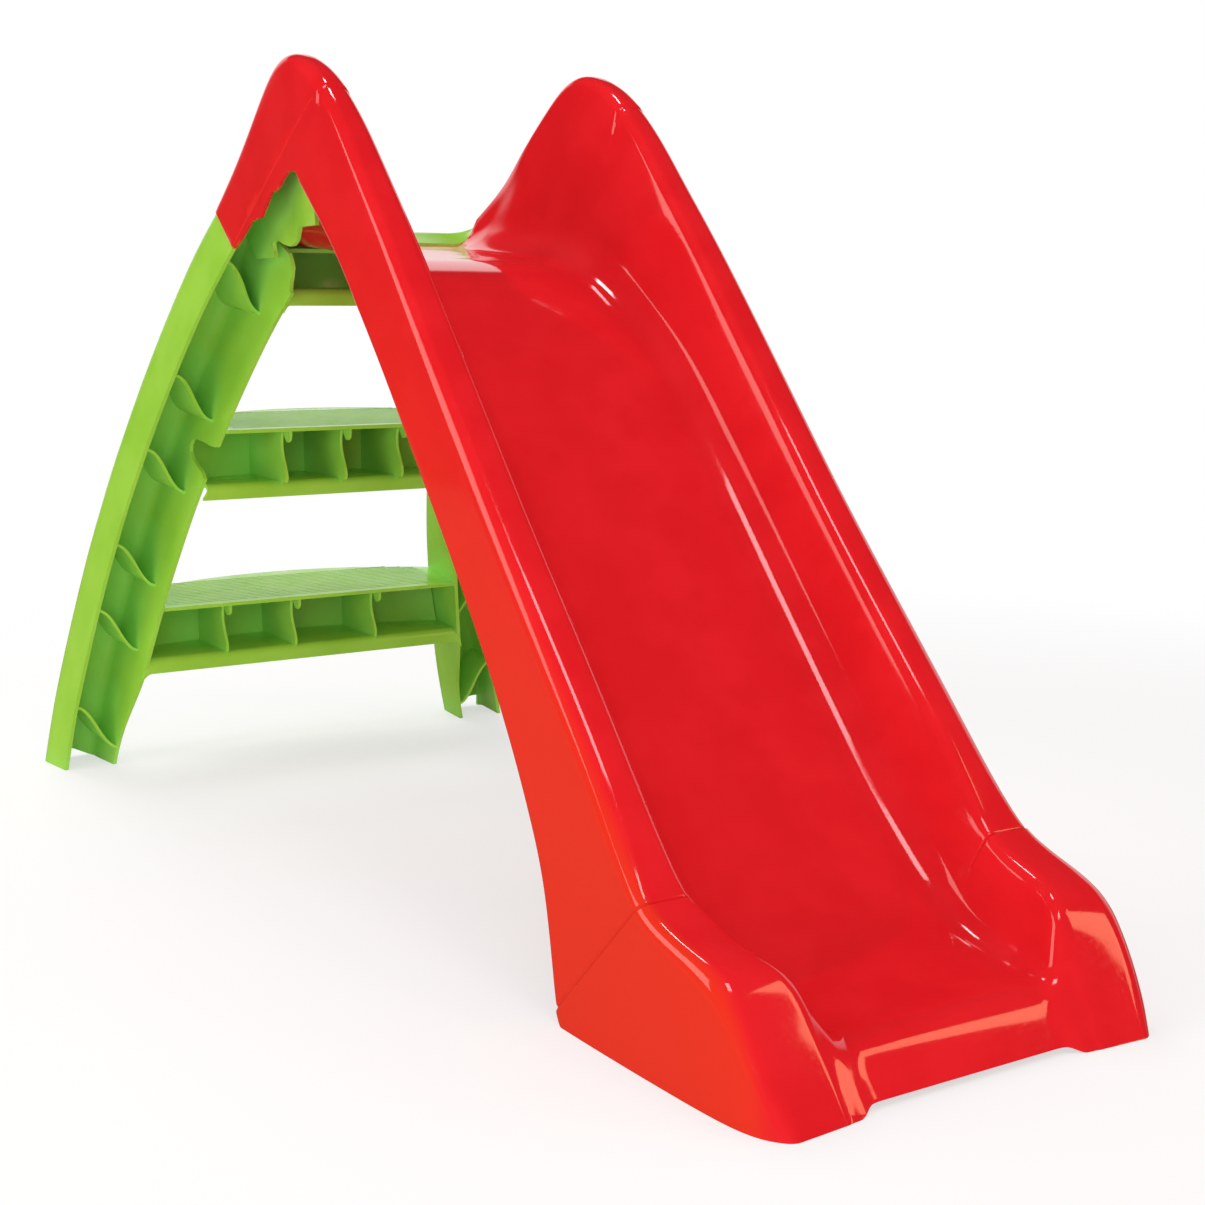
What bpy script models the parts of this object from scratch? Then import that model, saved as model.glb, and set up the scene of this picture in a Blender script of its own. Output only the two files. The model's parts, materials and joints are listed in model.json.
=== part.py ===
"""Plug-together toddler slide: a red chute moulding on a green ladder moulding.

Metres, +Z up. The origin is on the floor, midway along the slide, on its symmetry plane.
The chute runs out towards -Y, the ladder stands at +Y, and X is across the slide.
"""
import math

import bmesh
import bpy
from mathutils import Matrix, Vector

# Walls and clearances
RED_WALL = 0.0035
GREEN_WALL = 0.0040
RIB_THICKNESS = 0.0030
GAP = 0.0003
SEAM_GAP = 0.0008
UNION_BITE = 0.0002
BELOW_FLOOR = 0.010
CUT_REACH = 0.60

# Chute moulding, one row a station from the rear of the deck to the front of the feet:
# rim y, z, floor y, z, skirt y, z, then the half widths of wall foot, rim inside,
# rim outside and skirt, then the radii of floor corner, inner rim and outer rim
STATIONS = [
    (0.303, 0.606, 0.303, 0.575, 0.253, 0.567, 0.104, 0.120, 0.1732, 0.1748, 0.040, 0.008, 0.008),
    (0.262, 0.638, 0.262, 0.571, 0.218, 0.588, 0.105, 0.123, 0.1715, 0.1740, 0.045, 0.010, 0.009),
    (0.225, 0.670, 0.225, 0.567, 0.188, 0.602, 0.105, 0.129, 0.1700, 0.1738, 0.045, 0.011, 0.010),
    (0.190, 0.704, 0.190, 0.563, 0.158, 0.616, 0.105, 0.135, 0.1680, 0.1735, 0.045, 0.012, 0.011),
    (0.160, 0.729, 0.162, 0.560, 0.135, 0.628, 0.105, 0.139, 0.1670, 0.1730, 0.045, 0.012, 0.012),
    (0.130, 0.735, 0.135, 0.557, 0.116, 0.631, 0.105, 0.140, 0.1670, 0.1730, 0.045, 0.012, 0.012),
    (0.098, 0.725, 0.105, 0.554, 0.094, 0.618, 0.105, 0.140, 0.1670, 0.1730, 0.045, 0.012, 0.012),
    (0.066, 0.707, 0.076, 0.549, 0.066, 0.597, 0.105, 0.140, 0.1670, 0.1740, 0.045, 0.012, 0.012),
    (0.025, 0.672, 0.042, 0.540, 0.034, 0.571, 0.105, 0.139, 0.1680, 0.1745, 0.043, 0.012, 0.012),
    (-0.020, 0.623, 0.012, 0.526, 0.001, 0.540, 0.106, 0.138, 0.1690, 0.1750, 0.040, 0.012, 0.012),
    (-0.065, 0.575, -0.024, 0.503, -0.026, 0.512, 0.108, 0.138, 0.1700, 0.1760, 0.036, 0.012, 0.012),
    (-0.123, 0.508, -0.080, 0.459, -0.073, 0.463, 0.110, 0.138, 0.1710, 0.1770, 0.034, 0.012, 0.012),
    (-0.184, 0.437, -0.141, 0.394, -0.133, 0.393, 0.111, 0.138, 0.1715, 0.1775, 0.033, 0.012, 0.012),
    (-0.250, 0.360, -0.207, 0.318, -0.198, 0.316, 0.112, 0.138, 0.1720, 0.1780, 0.033, 0.012, 0.012),
    (-0.310, 0.294, -0.268, 0.248, -0.252, 0.248, 0.112, 0.138, 0.1730, 0.1790, 0.033, 0.012, 0.012),
    (-0.360, 0.240, -0.322, 0.187, -0.293, 0.190, 0.112, 0.139, 0.1740, 0.1800, 0.033, 0.012, 0.012),
    (-0.405, 0.190, -0.372, 0.132, -0.326, 0.136, 0.112, 0.140, 0.1750, 0.1815, 0.033, 0.012, 0.012),
    (-0.437, 0.152, -0.412, 0.093, -0.348, 0.090, 0.113, 0.142, 0.1770, 0.1830, 0.032, 0.011, 0.011),
    (-0.463, 0.122, -0.445, 0.067, -0.363, 0.026, 0.114, 0.144, 0.1790, 0.1840, 0.030, 0.010, 0.010),
    (-0.480, 0.111, -0.472, 0.053, -0.378, -0.006, 0.115, 0.145, 0.1800, 0.1850, 0.028, 0.010, 0.010),
    (-0.500, 0.104, -0.500, 0.045, -0.425, -0.010, 0.116, 0.146, 0.1800, 0.1845, 0.027, 0.011, 0.011),
    (-0.525, 0.098, -0.527, 0.041, -0.485, -0.010, 0.117, 0.146, 0.1795, 0.1835, 0.026, 0.012, 0.012),
    (-0.546, 0.092, -0.552, 0.040, -0.532, -0.010, 0.116, 0.145, 0.1785, 0.1815, 0.024, 0.013, 0.013),
    (-0.563, 0.080, -0.571, 0.040, -0.561, -0.010, 0.114, 0.142, 0.1765, 0.1795, 0.018, 0.013, 0.013),
    (-0.582, 0.054, -0.586, 0.031, -0.583, -0.010, 0.110, 0.136, 0.1730, 0.1765, 0.012, 0.012, 0.013),
    (-0.600, 0.026, -0.597, 0.013, -0.598, -0.010, 0.106, 0.126, 0.1670, 0.1720, 0.008, 0.010, 0.012),
    (-0.6208, -0.010, -0.611, -0.010, -0.606, -0.010, 0.102, 0.114, 0.1550, 0.1680, 0.005, 0.006, 0.010),
]
ROWS_BETWEEN_STATIONS = 1
FLOOR_POINTS = 3
FLOOR_ARC_POINTS = 6
RIM_ARC_POINTS = 4
WALL_POINTS = 2

# Where the red moulding is split into its regions
DECK_SPLIT_Y = 0.020
EAR_SPLIT_Y = 0.055
FLOOR_SPLIT_X = 0.098
RUN_OUT_SEAM = ((-0.463, 0.120), (-0.364, 0.012))
APRON_CLEARANCE = 0.005

# Ladder: the rear edge of a stile in side view, from below the floor up to the handle seam
STILE_REAR = [
    (0.6156, -0.020), (0.6135, 0.050), (0.604, 0.104), (0.592, 0.152), (0.578, 0.198),
    (0.562, 0.245), (0.542, 0.290), (0.520, 0.336), (0.494, 0.380), (0.466, 0.424),
    (0.436, 0.466), (0.403, 0.508), (0.367, 0.549), (0.335, 0.5795),
]
STILE_DEPTH = 0.0634
FLANGE_EXTRA = 0.030
FLANGE_RISE = 0.150
SPREAD_OUT_FRONT = 0.277
SPREAD_OUT_REAR = 0.2855
SPREAD_IN_FRONT = 0.219
SPREAD_IN_REAR = 0.226
SPLAY_OUT_FRONT = 0.180
SPLAY_OUT_REAR = 0.185
SPLAY_IN = 0.200
CHANNEL_CORNER = 0.010
FOOT_ARCH_HEIGHT = 0.012
FOOT_ARCH_REACH = 0.030
FLANGE_TOP_REACH = 0.040

# Tongues of the ladder that plug up inside the handles
TONGUE_START = 12
TONGUE_ROWS = 3
TONGUE_BITE = 0.0012
TONGUE_PLAY = 0.0010
TONGUE_CORNER = 0.004
TONGUE_INNER_PLAY = 0.0070
TONGUE_DEPTH = 0.050
CHEEK_DEPTH = 0.092

STILE_RIB_HEIGHTS = [0.554, 0.442, 0.363, 0.257, 0.182, 0.070]
STILE_RIB_COLUMNS = [0.0, 0.22, 0.5, 0.78, 1.0]
STILE_RIB_DROP = 0.050
STILE_RIB_DEPTH = 0.058
DRAW_RISE = 0.12

# Steps: (tread front y, tread front z, tread rear y at the ends, rear bulge, rib spacing)
STEPS = {
    "lower_step": (0.487, 0.184, 0.574, 0.037, 0.090),
    "middle_step": (0.378, 0.384, 0.478, 0.036, 0.070),
}
STEP_HEIGHT = 0.076
TREAD_RISE = 0.014
TREAD_EDGE_RADIUS = 0.006
LIP_HEIGHT = 0.013
STEP_SPAN_POINTS = 9
TOP_FRONT_Y = 0.236
TOP_TREAD_START_Y = 0.3036
TOP_TREAD_Z = 0.577
TOP_REAR_Z = 0.592
TOP_REAR_Y = 0.330
TOP_REAR_BULGE = 0.034
TOP_LIP_Z = 0.512
LEDGE_DROP = 0.007
TOP_RIB_SPACING = 0.050

RED = (0.84, 0.010, 0.014, 1.0)
GREEN = (0.300, 0.580, 0.040, 1.0)
ROUGHNESS = 0.18


def clear_scene():
    for obj in list(bpy.data.objects):
        bpy.data.objects.remove(obj, do_unlink=True)


def new_collection(name):
    collection = bpy.data.collections.new(name)
    bpy.context.scene.collection.children.link(collection)
    return collection


def plastic(name, colour):
    material = bpy.data.materials.new(name + "_plastic")
    material.use_nodes = True
    shader = material.node_tree.nodes["Principled BSDF"]
    shader.inputs["Base Color"].default_value = colour
    shader.inputs["Roughness"].default_value = ROUGHNESS
    shader.inputs["Metallic"].default_value = 0.0
    return material


def spline(rows, between):
    """Rows of numbers, joined by a Catmull-Rom curve with some rows added between each pair."""
    out = []
    for i in range(len(rows) - 1):
        before = rows[max(i - 1, 0)]
        after = rows[min(i + 2, len(rows) - 1)]
        for k in range(between + 1):
            t = k / (between + 1)
            out.append([
                0.5 * (2 * b + (c - a) * t + (2 * a - 5 * b + 4 * c - d) * t * t
                       + (3 * b - a - 3 * c + d) * t ** 3)
                for a, b, c, d in zip(before, rows[i], rows[i + 1], after)
            ])
    out.append(list(rows[-1]))
    return out


def rounded(corner, before, after, radius, count):
    """Points on the arc that rounds one corner of an outline."""
    to_before = (before - corner).normalized()
    to_after = (after - corner).normalized()
    half = to_before.angle(to_after) / 2
    reach = 0.45 * min((before - corner).length, (after - corner).length)
    setback = min(radius / math.tan(half), reach)
    radius = setback * math.tan(half)
    centre = corner + (to_before + to_after).normalized() * (radius / math.sin(half))
    first = corner + to_before * setback - centre
    last = corner + to_after * setback - centre
    sweep = first.angle_signed(last)
    points = []
    for k in range(count):
        turn = Matrix.Rotation(-sweep * k / (count - 1), 2)
        points.append(centre + turn @ first)
    return points


def chute_section(station):
    """Half a section of the chute, from its middle out over the rim and down the skirt."""
    (rim_y, rim_z, floor_y, floor_z, skirt_y, skirt_z,
     foot_x, in_x, out_x, skirt_x, floor_r, in_r, out_r) = station
    rise = math.hypot(rim_y - floor_y, rim_z - floor_z)
    drop = math.hypot(rim_y - skirt_y, rim_z - skirt_z)
    middle = Vector((0.0, 0.0))
    foot = Vector((foot_x, 0.0))
    inner = Vector((in_x, rise))
    outer = Vector((out_x, rise))
    skirt = Vector((skirt_x, rise - drop))
    floor_arc = rounded(foot, middle, inner, floor_r, FLOOR_ARC_POINTS)
    inner_arc = rounded(inner, foot, outer, in_r, RIM_ARC_POINTS)
    outer_arc = rounded(outer, inner, skirt, out_r, RIM_ARC_POINTS)
    flat = [middle.lerp(floor_arc[0], k / FLOOR_POINTS) for k in range(FLOOR_POINTS)]
    wall = [floor_arc[-1].lerp(inner_arc[0], k / WALL_POINTS) for k in range(1, WALL_POINTS)]
    side = [outer_arc[-1].lerp(skirt, k / WALL_POINTS) for k in range(1, WALL_POINTS + 1)]
    points = []
    for p in flat + floor_arc + wall + inner_arc:
        along = p.y / rise
        points.append((p.x, floor_y + (rim_y - floor_y) * along,
                       floor_z + (rim_z - floor_z) * along))
    for p in outer_arc + side:
        along = (rise - p.y) / drop
        points.append((p.x, rim_y + (skirt_y - rim_y) * along,
                       rim_z + (skirt_z - rim_z) * along))
    return points


def surface(name, sections):
    """An open sheet through equal rows of points: a loft between unlike sections."""
    mesh = bpy.data.meshes.new(name)
    width = len(sections[0])
    verts = [p for section in sections for p in section]
    faces = []
    for i in range(len(sections) - 1):
        for j in range(width - 1):
            a = i * width + j
            faces.append((a, a + width, a + width + 1, a + 1))
    mesh.from_pydata(verts, [], faces)
    mesh.update()
    return mesh


def smooth(mesh, degrees=35):
    mesh.shade_smooth()
    mesh.set_sharp_from_angle(angle=math.radians(degrees))


def link(obj, collection):
    collection.objects.link(obj)
    return obj


def new_node(name, mesh, collection, colour):
    obj = link(bpy.data.objects.new(name, mesh), collection)
    obj.data.materials.append(plastic(name, colour))
    return obj


def boolean(obj, cutter, operation):
    modifier = obj.modifiers.new(operation.title() + " " + cutter.name, "BOOLEAN")
    modifier.object = cutter
    modifier.operation = operation
    modifier.solver = "EXACT"
    return modifier


def solidify(obj, thickness, offset=-1.0):
    modifier = obj.modifiers.new("Wall", "SOLIDIFY")
    modifier.thickness = thickness
    modifier.offset = offset
    modifier.use_even_offset = True
    return modifier


def as_mesh(obj, name):
    """The evaluated shape of an object as a plain mesh in world space, the object removed."""
    graph = bpy.context.evaluated_depsgraph_get()
    mesh = bpy.data.meshes.new_from_object(obj.evaluated_get(graph))
    mesh.transform(obj.matrix_world)
    mesh.name = name
    bpy.data.objects.remove(obj, do_unlink=True)
    work = bmesh.new()
    work.from_mesh(mesh)
    bmesh.ops.remove_doubles(work, verts=work.verts, dist=0.00001)
    bmesh.ops.recalc_face_normals(work, faces=work.faces)
    work.to_mesh(mesh)
    work.free()
    return mesh


def side_plate(name, outline, x_low, x_high):
    """A flat outline in side view, (y, z) points, given its width along X."""
    curve = bpy.data.curves.new(name, "CURVE")
    curve.dimensions = "2D"
    curve.fill_mode = "BOTH"
    curve.extrude = (x_high - x_low) / 2
    line = curve.splines.new("POLY")
    line.points.add(len(outline) - 1)
    for point, (y, z) in zip(line.points, outline):
        point.co = (y, z, 0.0, 1.0)
    line.use_cyclic_u = True
    obj = bpy.data.objects.new(name, curve)
    bpy.context.scene.collection.objects.link(obj)
    turn = Matrix(((0, 0, 1, (x_low + x_high) / 2), (1, 0, 0, 0), (0, 1, 0, 0), (0, 0, 0, 1)))
    obj.matrix_world = turn
    bpy.context.view_layer.update()
    return as_mesh(obj, name)


def cutter(name, mesh, collection):
    obj = bpy.data.objects.new(name, mesh)
    obj.hide_render = True
    obj.display_type = "WIRE"
    return link(obj, collection)


def seam_line(shift):
    """The run-out seam in side view, moved forwards by a shift and drawn out both ways."""
    top, foot = (Vector(p) for p in RUN_OUT_SEAM)
    along = (foot - top).normalized()
    across = Vector((along.y, -along.x))
    if across.x > 0:
        across = -across
    top = top + across * shift
    return top - along * CUT_REACH, top + along * CUT_REACH


def region_outline(rear_y, front_y):
    """Side outline of a slice of the chute between two upright cuts, or back to the seam."""
    low, high = -CUT_REACH, 2 * CUT_REACH
    if front_y is None:
        up, down = seam_line(-GAP / 2)
        return [(rear_y, low), (rear_y, high), (up.x, high), (up.x, up.y), (down.x, down.y),
                (down.x, low)]
    return [(rear_y, low), (rear_y, high), (front_y, high), (front_y, low)]


def run_out_outline():
    up, down = seam_line(GAP / 2)
    return [(up.x, up.y), (down.x, down.y), (-2 * CUT_REACH, down.y), (-2 * CUT_REACH, up.y)]


def chute_mesh():
    rows = spline(STATIONS, ROWS_BETWEEN_STATIONS)
    mesh = surface("chute_sheet", [chute_section(row) for row in rows])
    smooth(mesh)
    return mesh


def build_chute(parts, cutters):
    mesh = chute_mesh()
    half = GAP / 2
    rear = STATIONS[0][0] + CUT_REACH
    deck = region_outline(rear, DECK_SPLIT_Y + half)
    bed = region_outline(DECK_SPLIT_Y - half, None)
    ear = region_outline(rear, EAR_SPLIT_Y + half)
    rail = region_outline(EAR_SPLIT_Y - half, None)
    run_out = run_out_outline()
    middle = (-FLOOR_SPLIT_X + half, FLOOR_SPLIT_X - half)
    left = (-CUT_REACH, -FLOOR_SPLIT_X - half)
    right = (FLOOR_SPLIT_X + half, CUT_REACH)
    regions = {
        "deck": (deck, middle), "slide_bed": (bed, middle), "run_out_floor": (run_out, middle),
        "left_handle": (ear, left), "right_handle": (ear, right),
        "left_rail": (rail, left), "right_rail": (rail, right),
        "left_fender": (run_out, left), "right_fender": (run_out, right),
    }
    floor = cutter("below_floor", side_plate("below_floor", [
        (-2, -CUT_REACH), (2, -CUT_REACH), (2, 0), (-2, 0)], -CUT_REACH, CUT_REACH), cutters)
    apron = cutter("under_apron", side_plate("under_apron", [
        (-2, -CUT_REACH), (RUN_OUT_SEAM[0][0], -CUT_REACH), (RUN_OUT_SEAM[0][0], APRON_CLEARANCE),
        (-2, APRON_CLEARANCE)], -FLOOR_SPLIT_X, FLOOR_SPLIT_X), cutters)
    for name, (outline, (x_low, x_high)) in regions.items():
        obj = new_node(name, mesh.copy(), parts, RED)
        mirror = obj.modifiers.new("Other half", "MIRROR")
        mirror.merge_threshold = 0.00005
        solidify(obj, RED_WALL)
        region = cutter("region_" + name, side_plate("region_" + name, outline, x_low, x_high),
                        cutters)
        boolean(obj, region, "INTERSECT")
        if name in ("run_out_floor", "left_fender", "right_fender", "left_rail", "right_rail"):
            boolean(obj, floor, "DIFFERENCE")
        if name == "run_out_floor":
            boolean(obj, apron, "DIFFERENCE")
    return floor


def seam_frame():
    """Handle seam in side view: its rear point, a gap below the handle, and its direction."""
    rim = Vector(STATIONS[0][0:2])
    skirt = Vector(STATIONS[0][4:6])
    square = (skirt - rim).normalized()
    away = Vector((-square.y, square.x))
    return rim + away * SEAM_GAP, square


def stile_frames():
    """Rear point, and the direction square to the rear edge, up one stile to the seam."""
    seam, seam_square = seam_frame()
    rows = [Vector(p) for p in STILE_REAR] + [seam]
    frames = []
    for i, rear in enumerate(rows[:-1]):
        along = (rows[i + 1] - rows[max(i - 1, 0)]).normalized()
        frames.append((rear, Vector((-along.y, along.x))))
    return frames + [(seam, seam_square)]


def stile_at(z):
    """Rear point and square direction of the stile where its rear edge is at height z."""
    frames = stile_frames()
    for (low, low_square), (high, high_square) in zip(frames, frames[1:]):
        if z <= high.y:
            t = (z - low.y) / (high.y - low.y)
            return low.lerp(high, t), low_square.lerp(high_square, t).normalized()
    return frames[-1]


def ramp(value, start, end):
    t = min(max((value - start) / (end - start), 0.0), 1.0)
    return t * t * (3 - 2 * t)


def outer_x(z, depth):
    """Half width over the outer walls, at a height and a depth in from the rear edge."""
    front = SPREAD_OUT_FRONT - SPLAY_OUT_FRONT * z
    rear = SPREAD_OUT_REAR - SPLAY_OUT_REAR * z
    return rear + (front - rear) * depth / STILE_DEPTH


def inner_x(z, depth):
    """Half width between the inner flanges, at a height and a depth in from the rear edge."""
    return SPREAD_IN_REAR - SPLAY_IN * z + (SPREAD_IN_FRONT - SPREAD_IN_REAR) * depth / STILE_DEPTH


def channel_points(rear, square, wide, depths):
    spots = [(rear + square * depth, depth) for depth in depths]
    return [Vector((wide(spot.y, depth), spot.x, spot.y)) for spot, depth in spots]


def stile_section(rear, square):
    """Half open channel: outer wall, web with round corners, inner flange."""
    corner = CHANNEL_CORNER
    deep = STILE_DEPTH + FLANGE_EXTRA * ramp(rear.y, 0.0, FLANGE_RISE)
    outer = channel_points(rear, square, outer_x,
                           (STILE_DEPTH, STILE_DEPTH / 2, corner, corner * 0.3, 0))
    inner = channel_points(rear, square, inner_x, (0, corner * 0.3, corner, deep / 2, deep))
    web = Vector((inner[0].x - outer[4].x, 0, 0)).normalized()
    points = outer[:3] + [outer[3] + web * corner * 0.3, outer[4] + web * corner]
    points.append(outer[4].lerp(inner[0], 0.5))
    points += [inner[0] - web * corner, inner[1] - web * corner * 0.3] + inner[2:]
    return [tuple(p) for p in points]


def seam_section():
    """Top of the channel: along the handle's outer seam, and down under the deck inside."""
    rear, square = seam_frame()
    points = [Vector(p) for p in stile_section(rear, square)]
    behind = STATIONS[0][2] + GREEN_WALL
    under = STATIONS[0][3] - RED_WALL - GAP * 4
    tops = [(behind, rear.y - CHANNEL_CORNER * 0.3), (behind, rear.y - CHANNEL_CORNER),
            (behind, under), (behind - FLANGE_TOP_REACH, under - GAP * 10)]
    corner_x = points[-4].x
    points[-5].y = behind
    for point, (y, z) in zip(points[-4:], tops):
        point.x = inner_x(z, 0)
        point.y = y
        point.z = z
    points[-4].x = corner_x
    return [tuple(p) for p in points]


def tongue_section(rear, square, outside, inside, inset):
    """Channel set in from a rear edge, between an outer and an inner half width."""
    corner = TONGUE_CORNER
    path = [(outside, TONGUE_DEPTH), (outside, TONGUE_DEPTH / 2), (outside, inset + corner),
            (outside - corner, inset), (inside + corner, inset), (inside, inset + corner),
            (inside, CHEEK_DEPTH / 2), (inside, CHEEK_DEPTH)]
    points = []
    for x, depth in path:
        spot = rear + square * depth
        points.append((x, spot.x, spot.y))
    return points


def tongue_sections():
    """From inside the top of the ladder's channel up inside the hollow handle."""
    inside = STATIONS[0][7] + RED_WALL + TONGUE_INNER_PLAY
    sections = []
    for rear, square in stile_frames()[TONGUE_START:-1]:
        spot = rear + square * STILE_DEPTH
        outside = outer_x(spot.y, STILE_DEPTH) - GREEN_WALL + TONGUE_BITE
        sections.append(tongue_section(rear, square, outside, inside, GREEN_WALL - TONGUE_BITE))
    for station in STATIONS[:TONGUE_ROWS]:
        rim = Vector(station[0:2])
        square = (Vector(station[4:6]) - rim).normalized()
        inside = station[7] + RED_WALL + TONGUE_INNER_PLAY
        outside = station[8] - RED_WALL - TONGUE_PLAY
        sections.append(tongue_section(rim, square, outside, inside, RED_WALL + TONGUE_PLAY))
    return sections


def mirrored(mesh, side):
    """A copy of a right-hand mesh, turned over to the left when side is -1."""
    copy = mesh.copy()
    if side < 0:
        copy.transform(Matrix.Scale(-1, 4, Vector((1, 0, 0))))
        copy.flip_normals()
    return copy


def stile_spot(z, depth):
    """The point in side view at height z that lies at a depth in from the rear edge."""
    height = z
    for turn in range(6):
        rear, square = stile_at(height)
        spot = rear + square * depth
        height += z - spot.y
    return spot


def stile_rib(z_outer):
    """A plate across the channel that swoops down from the outer wall to the inner flange.

    It runs back to the web along the direction in which the ladder leaves its mould."""
    bite = GREEN_WALL * 0.6
    fronts = []
    rears = []
    for t in STILE_RIB_COLUMNS:
        ends = t in (STILE_RIB_COLUMNS[0], STILE_RIB_COLUMNS[-1])
        front = stile_spot(z_outer - STILE_RIB_DROP * ramp(t, 0, 1), STILE_RIB_DEPTH)
        rear = front
        for turn in range(3):
            rear = stile_spot(front.y + (rear.x - front.x) * DRAW_RISE, CHANNEL_CORNER if ends else bite)
        for spot, depth, row in ((front, STILE_RIB_DEPTH, fronts), (rear, CHANNEL_CORNER, rears)):
            outer = outer_x(spot.y, depth) - bite
            inner = inner_x(spot.y, depth) + bite
            row.append((outer + (inner - outer) * t, spot.x, spot.y))
    return [rears, fronts]


def build_stiles(parts, cutters, floor):
    frames = stile_frames()
    sections = [stile_section(*frame) for frame in frames[:-1]] + [seam_section()]
    body = surface("stile_sheet", sections)
    tongue = surface("tongue_sheet", tongue_sections())
    for mesh in (body, tongue):
        mesh.flip_normals()
        smooth(mesh)
    foot_rear = STILE_REAR[1][0] - CHANNEL_CORNER * 1.2
    arch = side_plate("foot_arch", [
        (foot_rear + FOOT_ARCH_REACH, -CUT_REACH), (foot_rear + FOOT_ARCH_REACH, FOOT_ARCH_HEIGHT),
        (foot_rear, FOOT_ARCH_HEIGHT), (foot_rear, -CUT_REACH)],
        SPREAD_IN_REAR + CHANNEL_CORNER, SPREAD_OUT_REAR - CHANNEL_CORNER)
    for side, name in ((-1, "left_stile"), (1, "right_stile")):
        obj = new_node(name, mirrored(body, side), parts, GREEN)
        solidify(obj, GREEN_WALL, -1.0)
        plug = cutter(name + "_tongue", mirrored(tongue, side), cutters)
        solidify(plug, GREEN_WALL, -1.0)
        boolean(obj, plug, "UNION")
        for number, height in enumerate(STILE_RIB_HEIGHTS):
            sheet = surface("rib", stile_rib(height))
            rib = cutter(f"{name}_rib_{number + 1}", mirrored(sheet, side), cutters)
            solidify(rib, RIB_THICKNESS, 0.0)
            boolean(obj, rib, "UNION")
        boolean(obj, floor, "DIFFERENCE")
        boolean(obj, cutter(name + "_arch", mirrored(arch, side), cutters), "DIFFERENCE")


def flange_face_x(y, z):
    """Half width of the inward face of a stile's inner flange, at a point in side view."""
    spot = Vector((y, z))
    depth = 0.0
    for turn in range(4):
        rear, square = stile_at(z + depth * 0.6)
        depth = (spot - rear).dot(square)
    return inner_x(z, depth)


def step_profile(front_y, front_z, rear_y):
    """Open profile of a step in side view: tread, rear riser, sole and front lip."""
    lip_z = front_z - STEP_HEIGHT
    rise = TREAD_RISE
    r = TREAD_EDGE_RADIUS
    lip_y = front_y + 0.023
    return [
        (front_y, front_z), ((front_y + rear_y) / 2, front_z + rise / 2),
        (rear_y - r, front_z + rise), (rear_y - r * 0.3, front_z + rise - r * 0.3),
        (rear_y, front_z + rise - r), (rear_y, lip_z + LIP_HEIGHT + r),
        (rear_y - r * 0.3, lip_z + LIP_HEIGHT + r * 0.3), (rear_y - r, lip_z + LIP_HEIGHT),
        ((lip_y + rear_y) / 2, lip_z + LIP_HEIGHT), (lip_y + GREEN_WALL, lip_z + LIP_HEIGHT),
        (lip_y, lip_z + LIP_HEIGHT - GREEN_WALL), (lip_y, lip_z),
    ]


def step_sheet(name, profile_at, bulge, rear_y):
    """A step's sheet, its ends on the stiles' flanges and its rear face bowed outwards."""
    sections = []
    tread_z = profile_at(rear_y)[0][1] - GREEN_WALL
    for k in range(STEP_SPAN_POINTS):
        u = -1 + 2 * k / (STEP_SPAN_POINTS - 1)
        section = []
        for y, z in profile_at(rear_y + bulge * (1 - u * u)):
            highest = z + GREEN_WALL if z < tread_z else z
            reach = flange_face_x(min(y, rear_y), highest) - GAP
            section.append((u * reach, y, z))
        sections.append(section)
    mesh = surface(name, sections)
    smooth(mesh)
    return mesh


def rib_outline(front_y, front_z, rear_y):
    """A step rib in side view: a lug under the tread edge, then an S curve to the sole."""
    bite = GREEN_WALL * 0.6
    top = front_z + 0.001
    sole = front_z - STEP_HEIGHT + LIP_HEIGHT
    return [
        (front_y + 0.004, top - bite), (front_y + 0.006, front_z - 0.010),
        (front_y + 0.013, front_z - 0.013), (front_y + 0.021, front_z - 0.008),
        (front_y + 0.027, front_z - 0.009), (front_y + 0.030, front_z - 0.022),
        (front_y + 0.029, front_z - 0.036), (front_y + 0.022, front_z - 0.048),
        (front_y + 0.024, front_z - 0.056), (front_y + 0.030, sole + bite),
        (rear_y - bite, sole + bite), (rear_y - bite, front_z + TREAD_RISE - bite),
        (rear_y - 0.012, front_z + TREAD_RISE - bite),
    ]


def build_step(name, mesh, ribs, parts, cutters):
    obj = new_node(name, mesh, parts, GREEN)
    solidify(obj, GREEN_WALL, -1.0)
    for number, (outline, x) in enumerate(ribs):
        half = RIB_THICKNESS / 2
        plate = side_plate(f"{name}_rib", outline, x - half, x + half)
        boolean(obj, cutter(f"{name}_rib_{number + 1}", plate, cutters), "UNION")
    return obj


def build_steps(parts, cutters):
    for name, (front_y, front_z, rear_y, bulge, spacing) in STEPS.items():
        def profile_at(rear, y=front_y, z=front_z):
            return step_profile(y, z, rear)
        mesh = step_sheet(name, profile_at, bulge, rear_y)
        outline = rib_outline(front_y, front_z, rear_y + bulge * 0.5)
        ribs = [(outline, x * spacing) for x in (-1, 0, 1)]
        build_step(name, mesh, ribs, parts, cutters)
    build_top_step(parts, cutters)


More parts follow.
